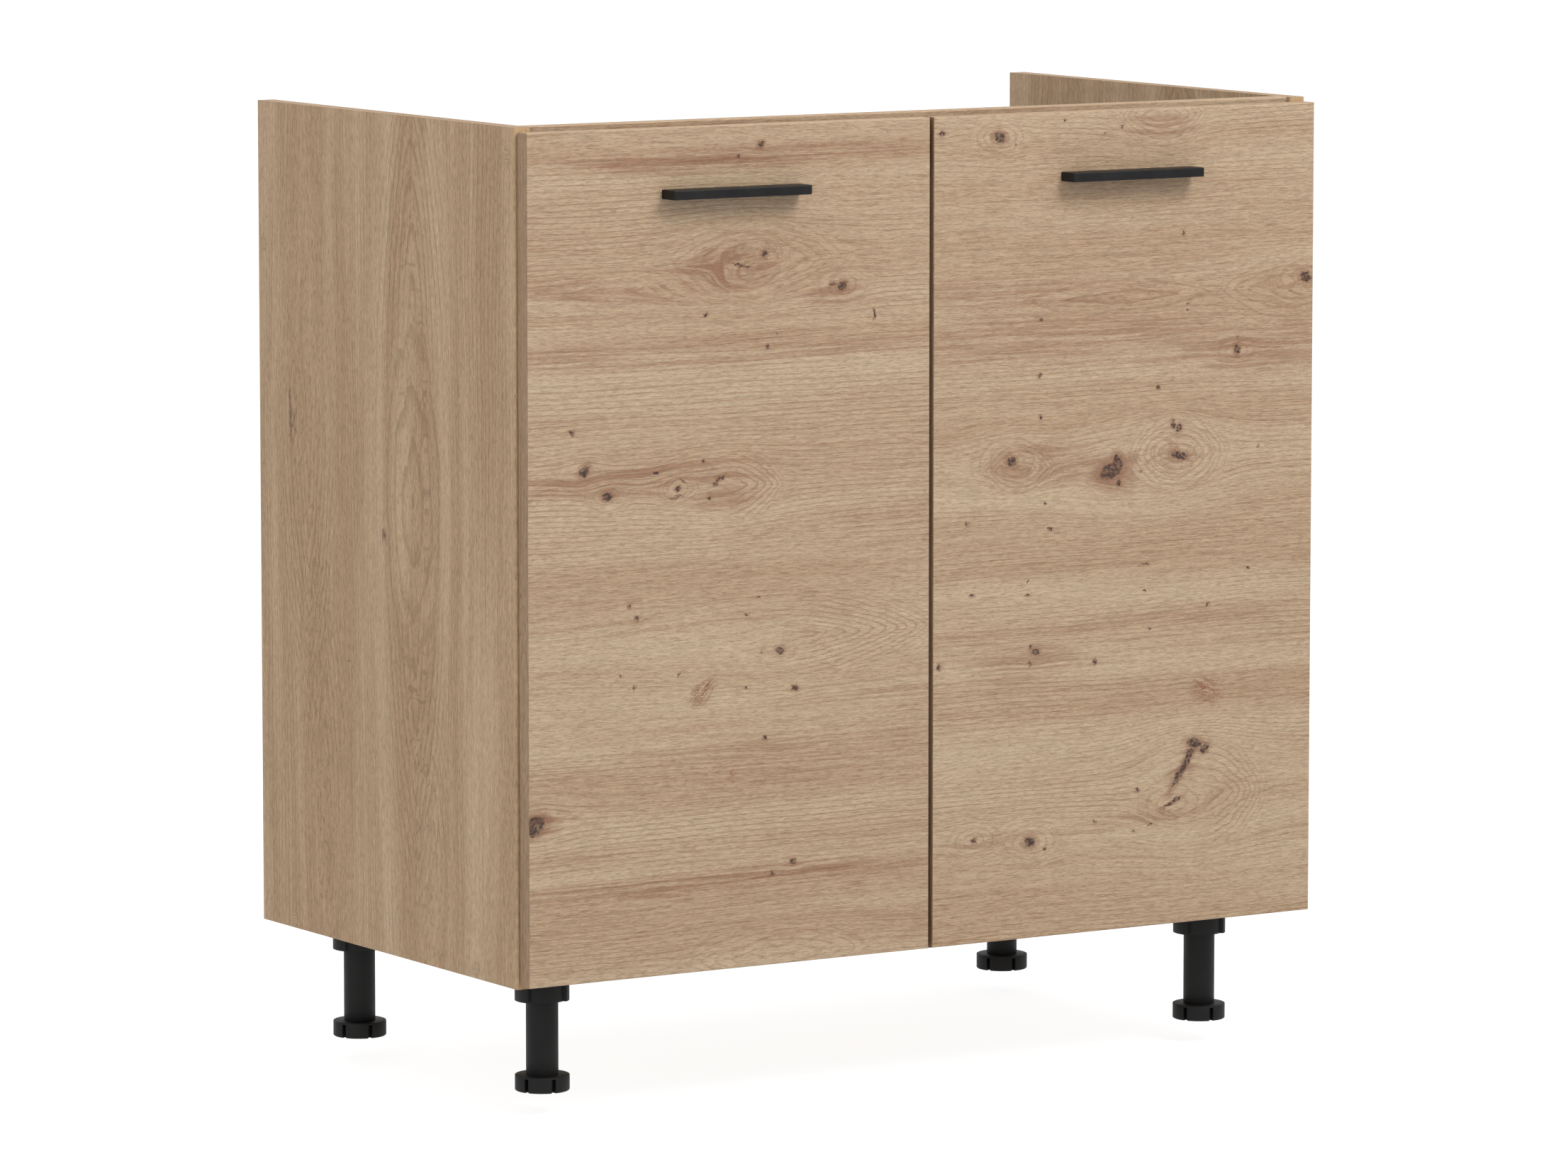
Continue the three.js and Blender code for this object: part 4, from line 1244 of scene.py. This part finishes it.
RIGHT_KNOTS = tuple(Knot(*row) for row in (
    (8, 699, 2.6, 2.2, 0, 8), (67, 693.5, 6.0, 4.6, -15, 16, 2.5), (175, 693, 1.4, 1.0),
    (83, 686.5, 1.3, 1.0), (134, 706, 1.4, 0.9), (193, 699, 1.6, 0.9), (258, 605, 1.4, 2.2),
    (388, 560.5, 6.0, 4.6, -20, 20, 2), (262.5, 543, 1.5, 1.2), (262, 537.5, 1.2, 1.0),
    (110, 535.5, 1.3, 1.1), (315, 500, 3.2, 4.6, 10, 11, 1.5), (315, 511, 1.0, 0.9), (108.5, 488, 1.8, 1.7),
    (232, 471.5, 1.5, 1.5), (110, 452, 1.7, 1.6), (80, 415.5, 4.6, 4.4, -30, 22, 2.5),
    (182, 401, 11.0, 7.0, 12, 34), (190, 408, 5.0, 8.0, 8), (191, 390, 3.0, 2.2, -50),
    (254, 411, 8.6, 3.8, -8, 30, 4), (248, 439, 2.4, 3.6, 10), (254, 435, 2.8, 3.6, -20, 12),
    (214.5, 399, 1.3, 1.1), (338, 414.5, 1.2, 0.9), (34, 363.5, 1.9, 1.6), (120, 355, 2.1, 1.5),
    (115, 377, 1.4, 0.8), (97, 299, 2.6, 1.4), (97, 311, 1.0, 0.8), (40, 302, 2.4, 1.0),
    (219, 318, 4.0, 0.9), (328, 307.5, 1.9, 0.9), (219, 295, 1.0, 0.8), (285, 279, 1.9, 1.6),
    (224, 261.5, 1.3, 1.1), (105, 249, 4.4, 2.8, 0, 9), (100, 253.5, 2.0, 1.6), (100, 239, 1.8, 1.8),
    (6, 242.5, 2.0, 2.6), (167, 236, 1.8, 2.4), (260, 136, 21.0, 2.9, 54, 30), (266, 146, 11.0, 3.2, 60),
    (272, 158, 8.0, 4.2, -14), (283, 152, 4.6, 3.8, 30), (249, 107, 11.0, 1.5, 24, 20, 2),
    (42, 89.5, 2.6, 2.2, 0, 15, 2), (100, 84, 5.8, 4.4, 0, 17, 2.5), (115.5, 77, 1.3, 1.0),
    (168, 96.5, 1.7, 0.9), (208, 84, 1.2, 0.9), (226, 89.5, 2.2, 0.8), (212, 121, 1.8, 1.8),
))
RIGHT_FIGURES = tuple(Figure(*row) for row in (
    (252, 414, 44, 30, 4.5, 0, 0.7), (88, 408, 34, 20, 4.0, 0, 0.75), (278, 112, 62, 44, 6.0, 1, 0.7),
    (372, 553, 70, 24, 3.0, 0, 0.6), (235, 708, 46, 26, 5.0, 0, 0.6), (190, 552, 90, 11, 1.15, 0, 0.85),
))
RIGHT_STAINS = tuple(Stain(*row) for row in (
    (120, 520, 220, 26, 0.42), (320, 500, 120, 22, 0.5), (375, 512, 28, 16, 0.55), (110, 412, 60, 20, 0.5),
    (160, 412, 90, 9, 0.62, -4), (186, 398, 32, 22, 0.6), (250, 412, 36, 22, 0.55), (90, 240, 70, 22, 0.45),
    (284, 204, 20, 17, 0.95, -14, 9), (265, 142, 34, 14, 0.6, 40), (200, 94, 100, 8, 0.5, 4),
    (60, 88, 70, 10, 0.42), (180, 265, 260, 12, 0.25), (230, 697, 50, 14, 0.5), (60, 560, 200, 16, 0.35),
    (165, 640, 40, 3, 0.3),
))


@dataclass
class Doors:
    """Both doors with their pulls and the screws that hold these. Sizes in mm."""

    screw_spacing: float = 128.0
    pull_height: float = 761.0
    pull_middle: float = 200.0
    door_back: float = -204.0

    def build(self) -> None:
        """Dresses the doors and pulls and adds the pulls' screws."""
        prints = {
            Hand.LEFT: (LEFT_KNOTS, LEFT_FIGURES, LEFT_STAINS, 3.0),
            Hand.RIGHT: (RIGHT_KNOTS, RIGHT_FIGURES, RIGHT_STAINS, 7.0),
        }
        for hand, (knots, figures, stains, seed) in prints.items():
            node = f"{hand.word}_door"
            corner = tuple(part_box(node)[0])
            finish = OakPrint(
                f"oak_{node}", LEVEL, RUSTIC, corner, seed, knots=knots, figures=figures, stains=stains)
            dress(node, finish)
            dress(f"{hand.word}_handle", PowderCoat())
            self._pull_screws(hand)

    def _pull_screws(self, hand: Hand) -> None:
        """Adds the two screws that hold the pull from inside the door.

        Args:
            hand: Which half of the cabinet.
        """
        screw = Screw(head_radius=3.9, head_height=2.1, shank_radius=2.0, shank_length=14.0)
        turn = Matrix.Rotation(-math.pi / 2, 4, "X")
        places = [
            Matrix.Translation(
                ((hand.value * self.pull_middle + end * self.screw_spacing / 2) * MM,
                 self.door_back * MM, self.pull_height * MM)
            ) @ turn
            for end in (-1, 1)
        ]
        batch = copies(screw.build(), places)
        finish_piece(batch, f"{hand.word}_handle_screws", f"{hand.word}_door_leaf", ZINC)


# ---------------------------------------------------------------- legs


@dataclass
class Legs:
    """Four legs, each a socket, a stem and a slotted foot on a threaded spindle. Sizes in mm."""

    leg_height: float = 100.0
    socket_height: float = 23.0
    socket_roof: float = 3.0
    socket_steps: int = 240
    socket_edge: float = 0.25
    socket_sharp: float = 50.0
    play: float = 0.3
    lug_radius: float = 23.2
    waist_radius: float = 20.3
    waist_angle: float = 92.0
    waist_turn: float = 14.0
    stem_radius: float = 13.75
    spigot_radius: float = 10.0
    spigot_length: float = 16.0
    foot_radius: float = 23.25
    foot_height: float = 13.5
    slot_count: int = 6
    slot_width: float = 3.8
    slot_depth: float = 4.8
    slot_roof: float = 1.6
    slot_turn: float = 5.5
    spindle_radius: float = 5.0
    spindle_length: float = 50.0
    thread_pitch: float = 1.5
    thread_depth: float = 0.75
    thread_crest: tuple[float, float] = (0.42, 0.58)
    thread_sink: float = 0.5
    thread_steps: int = 24
    bore_steps: int = 64
    steps: int = 96
    rows: tuple[str, ...] = ("front", "rear")

    def build(self) -> None:
        """Makes the three pieces of each leg in the place of its solids."""
        for row in self.rows:
            for hand in Hand:
                leg = f"{row}_{hand.word}_leg"
                low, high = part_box(f"{leg}_stem")
                centre = ((low[0] + high[0]) / 2, (low[1] + high[1]) / 2, 0.0)
                for word, mesh, body in (
                    ("socket", self._socket(), "carcass"),
                    ("stem", self._stem(), "carcass"),
                    ("foot", self._foot(), f"{leg}_foot_screw"),
                ):
                    bmesh.ops.translate(mesh, vec=centre, verts=mesh.verts)
                    name = f"{leg}_{word}_moulding"
                    piece = finish_piece(mesh, name, body, MouldedPlastic())
                    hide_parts(f"{leg}_{word}")

    def _socket(self) -> bmesh.types.BMesh:
        """Shapes the socket under the bottom board, with two wide lugs and two waists.

        Returns:
            The socket's mesh.
        """
        mesh = bmesh.new()
        made = bmesh.ops.create_circle(
            mesh, cap_ends=True, radius=self.lug_radius * MM, segments=self.socket_steps)
        first = -90.0 - self.waist_turn - self.waist_angle / 2
        for vert in made["verts"]:
            angle = (math.degrees(math.atan2(vert.co.y, vert.co.x)) - first) % 180.0
            if angle <= self.waist_angle:
                vert.co *= self.waist_radius / self.lug_radius
        raised = bmesh.ops.extrude_face_region(mesh, geom=mesh.faces[:])
        rise = [item for item in raised["geom"] if isinstance(item, bmesh.types.BMVert)]
        bmesh.ops.translate(mesh, vec=(0.0, 0.0, self.socket_height * MM), verts=rise)
        foot_of_socket = (self.leg_height - self.socket_height) * MM
        bmesh.ops.translate(mesh, vec=(0.0, 0.0, foot_of_socket), verts=mesh.verts)
        bmesh.ops.recalc_face_normals(mesh, faces=mesh.faces)
        wide, deep = self.spigot_radius + self.play, self.leg_height - self.socket_roof
        bore = spin_profile([(0.0, 0.0), (wide, 0.0), (wide, deep), (0.0, deep)], self.bore_steps)
        mesh = cut_away(mesh, [bore])
        soften(mesh, self.socket_edge, self.socket_sharp)
        return mesh

    def _stem(self) -> bmesh.types.BMesh:
        """Shapes the round stem, bored from below for the spindle, with its spigot in the socket.

        Returns:
            The stem's mesh.
        """
        top = self.leg_height - self.socket_height
        end = top + self.spigot_length
        bore = self.spindle_radius + self.play
        low = self.foot_height
        deep = low + self.spindle_length + self.play
        outer, spigot = self.stem_radius, self.spigot_radius
        profile = [
            (0.0, deep), (bore, deep), (bore, low), (outer - 0.5, low), (outer - 0.15, low + 0.15),
            (outer, low + 0.5), (outer, top - 0.4), (outer - 0.4, top),
            (spigot, top), (spigot, end), (0.0, end),
        ]
        return spin_profile(profile, self.steps)

    def _foot(self) -> bmesh.types.BMesh:
        """Shapes the foot disc with its key slots, and the threaded spindle that stands on it.

        Returns:
            The foot's mesh.
        """
        wide, high, half = self.foot_radius, self.foot_height, self.slot_width / 2
        profile = [
            (0.0, 0.0), (wide - 0.7, 0.0), (wide, 0.7), (wide, high - 0.6),
            (wide - 0.2, high - 0.2), (wide - 0.6, high), (0.0, high),
        ]
        slots = []
        for number in range(self.slot_count):
            inner = (half, -wide + self.slot_depth, high - self.slot_roof)
            slot = box_mesh((-half, -wide - 1.0, -1.0), inner)
            turn = -math.radians(self.slot_turn + number * 360.0 / self.slot_count)
            turned = Matrix.Rotation(turn, 3, "Z")
            bmesh.ops.rotate(slot, cent=ORIGIN, matrix=turned, verts=slot.verts)
            slots.append(slot)
        foot = cut_away(spin_profile(profile, self.steps), slots)
        self._add_thread(foot)
        return foot

    def _add_thread(self, foot: bmesh.types.BMesh) -> None:
        """Adds the spindle, its thread swept round in a helix and cut level at both ends.

        Args:
            foot: The foot disc, which the spindle becomes a part of.
        """
        turns = int(self.spindle_length / self.thread_pitch) + 3
        crest = self.spindle_radius
        root = crest - self.thread_depth
        start = self.foot_height - 2.0 * self.thread_pitch
        tooth = [(root, 0.0), *((crest, rise) for rise in self.thread_crest), (root, 1.0)]
        thread = bmesh.new()
        drawn = outline(thread, [(radius, start + rise * self.thread_pitch) for radius, rise in tooth])
        climb = (0.0, 0.0, self.thread_pitch * MM / self.thread_steps)
        bmesh.ops.spin(
            thread, geom=drawn, cent=ORIGIN, axis=UP, dvec=climb, angle=math.tau * turns,
            steps=self.thread_steps * turns, use_merge=False)
        bmesh.ops.remove_doubles(thread, verts=thread.verts, dist=1e-6)
        low, high = self.foot_height - self.thread_sink, self.foot_height + self.spindle_length
        for height, outer in ((low, False), (high, True)):
            whole = [*thread.verts, *thread.edges, *thread.faces]
            cut = bmesh.ops.bisect_plane(
                thread, geom=whole, plane_co=(0.0, 0.0, height * MM), plane_no=UP,
                clear_outer=outer, clear_inner=not outer)
            rim = [item for item in cut["geom_cut"] if isinstance(item, bmesh.types.BMEdge)]
            bmesh.ops.contextual_create(thread, geom=rim)
        bmesh.ops.recalc_face_normals(thread, faces=thread.faces)
        pour(thread, foot)


# ---------------------------------------------------------------- hinges


@dataclass
class Hinges:
    """Four concealed cup hinges with their screws. Places in mm, in the plane of motion of a hinge."""

    front: float = -202.5
    heights: tuple[float, ...] = (203.0, 716.0)
    plate_screw: tuple[float, float] = (37.0, 16.0)
    plate_seat: float = 17.5
    cup_screw: tuple[float, float] = (28.0, 24.0)
    cup_seat: float = -0.7
    adjuster_line: float = 52.0
    side_adjuster_line: float = 33.0
    side_adjuster_sink: float = 0.9
    web_height: float = 28.0
    moving: dict[str, str] = field(default_factory=lambda: {
        "outer_link": "outer_links", "inner_link": "inner_links", "cup": "door_leaf"})

    def build(self) -> None:
        """Makes finer copies of the hinge solids and adds the screws."""
        for hand in Hand:
            for level in ("lower", "upper"):
                self._mechanism(f"{hand.word}_{level}_hinge", hand)
            self._plate_screws(hand)
            self._cup_screws(hand)

    def _mechanism(self, hinge: str, hand: Hand) -> None:
        """Replaces the five pieces of one hinge by copies with whole faces and smooth rounds.

        Args:
            hinge: What the names of its pieces start with.
            hand: Which half of the cabinet.
        """
        for word in ("plate", "arm", "outer_link", "inner_link", "cup"):
            node = f"{hinge}_{word}"
            body = f"{hand.word}_{self.moving[word]}" if word in self.moving else "carcass"
            piece = finish_piece(node_copy(node), f"{node}_pressing", body, NICKEL, 32.0)
            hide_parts(node)

    def _spot(self, hand: Hand, depth: float, back: float, height: float) -> Matrix:
        """Moves to a place that lies a depth in from the outer face of a side."""
        return Matrix.Translation(Vector((hand.value * (HALF_WIDTH - depth), back, height)) * MM)

    def _plate_screws(self, hand: Hand) -> None:
        """Adds the screws of the mounting plates, and the adjusting screws of the arms.

        Args:
            hand: Which half of the cabinet.
        """
        line, spread = self.plate_screw
        lie = Matrix.Rotation(-hand.value * math.pi / 2, 4, "Y")
        plate = Screw(4.1, 1.9, 2.3, 1.4, countersunk=True)
        clamp = Screw(3.6, 1.5, 1.7, 1.6)
        grub = Screw(1.9, 1.2, 1.5, 1.2, recess_radius=1.2, recess_depth=0.7)
        whole = bmesh.new()
        for screw, spots in (
            (plate, [(self.plate_seat, line, end * spread) for end in (-1, 1)]),
            (clamp, [(self.web_height, self.adjuster_line, 0.0)]),
            (grub, [(self.web_height - self.side_adjuster_sink, self.side_adjuster_line, 0.0)]),
        ):
            places = [
                self._spot(hand, depth, self.front + back, height + rise) @ lie
                for height in self.heights
                for depth, back, rise in spots
            ]
            pour(copies(screw.build(), places), whole)
        finish_piece(whole, f"{hand.word}_hinge_plate_screws", "carcass", ZINC)

    def _cup_screws(self, hand: Hand) -> None:
        """Adds the screws that hold the cups in the door.

        Args:
            hand: Which half of the cabinet.
        """
        line, spread = self.cup_screw
        screw = Screw(3.3, 1.1, 1.9, 0.7, recess_depth=0.8)
        turn = Matrix.Rotation(-math.pi / 2, 4, "X")
        places = [
            self._spot(hand, line, self.front + self.cup_seat, height + end * spread) @ turn
            for height in self.heights
            for end in (-1, 1)
        ]
        batch = copies(screw.build(), places)
        finish_piece(batch, f"{hand.word}_hinge_cup_screws", f"{hand.word}_door_leaf", ZINC)


# ---------------------------------------------------------------- picture


@dataclass(frozen=True)
class Lamp:
    """A round soft lamp: where it hangs and what it looks at in metres, and its power in watts."""

    name: str
    place: Point
    target: Point
    size: float
    power: float


@dataclass
class Studio:
    """The floor, the lights and the camera of the picture. Lengths in metres."""

    eye: Point = (-3.83346, -6.11444, 1.25919)
    pitch: float = 6.853356
    yaw: float = 32.013918
    lens: float = 190.4692
    sensor: float = 36.0
    sight: tuple[float, float] = (0.05, 60.0)
    floor_depth: float = 0.0205
    floor_reach: float = 60.0
    room_light: float = 0.84
    lamps: tuple[Lamp, ...] = (
        Lamp("key", (0.9, -3.2, 3.6), (0.0, 0.0, 0.45), 2.0, 136.0),
        Lamp("overhead", (-0.4, -0.6, 3.6), (0.0, 0.0, 0.4), 3.0, 13.0),
        Lamp("fill", (-3.8, -1.6, 1.8), (-0.2, 0.0, 0.4), 2.6, 33.0),
    )

    def build(self) -> None:
        """Sets up the picture."""
        self._camera()
        self._floor()
        self._lights()

    def _camera(self) -> None:
        """Puts the camera where the photograph was seen from."""
        data = bpy.data.cameras.new("eye")
        data.sensor_width = self.sensor
        data.sensor_fit = "HORIZONTAL"
        data.lens = self.lens
        data.clip_start, data.clip_end = self.sight
        camera = put_in_scene("eye", data)
        camera.location = self.eye
        camera.rotation_euler = (math.radians(90.0 - self.pitch), 0.0, -math.radians(self.yaw))
        bpy.context.scene.camera = camera

    def _floor(self) -> None:
        """Lays the pale floor as low as the feet reach when their screws are turned out.

        Its brightness isn't thrown back up at the doors: the bright room lights them evenly instead.
        """
        mesh = bmesh.new()
        bmesh.ops.create_grid(mesh, x_segments=1, y_segments=1, size=self.floor_reach)
        bmesh.ops.translate(mesh, vec=(0.0, 0.0, -self.floor_depth), verts=mesh.verts)
        data = as_data(mesh, "floor")
        data.materials.append(material_of(PaleFloor()))
        floor = put_in_scene("floor", data)
        floor.visible_diffuse = False

    def _lights(self) -> None:
        """Hangs the soft lamps above, in front and at the left, in a bright room."""
        for lamp in self.lamps:
            data = bpy.data.lights.new(lamp.name, "AREA")
            data.shape = "DISK"
            data.size = lamp.size
            data.energy = lamp.power
            hung = put_in_scene(lamp.name, data)
            hung.location = lamp.place
            aim = Vector(lamp.target) - Vector(lamp.place)
            hung.rotation_euler = aim.to_track_quat("-Z", "Y").to_euler()
        world = bpy.data.worlds.new("bright_room")
        world.use_nodes = True
        sky = world.node_tree.nodes["Background"]
        sky.inputs["Color"].default_value = WHITE
        sky.inputs["Strength"].default_value = self.room_light
        bpy.context.scene.world = world
        bpy.context.scene.view_settings.view_transform = "Standard"


def main() -> None:
    """Builds the dressed cabinet and its picture."""
    logging.basicConfig(level=logging.INFO, format="%(message)s")
    for part in (Studio(), Carcass(), Doors(), Legs(), Hinges()):
        part.build()


if __name__ == "__main__":
    main()
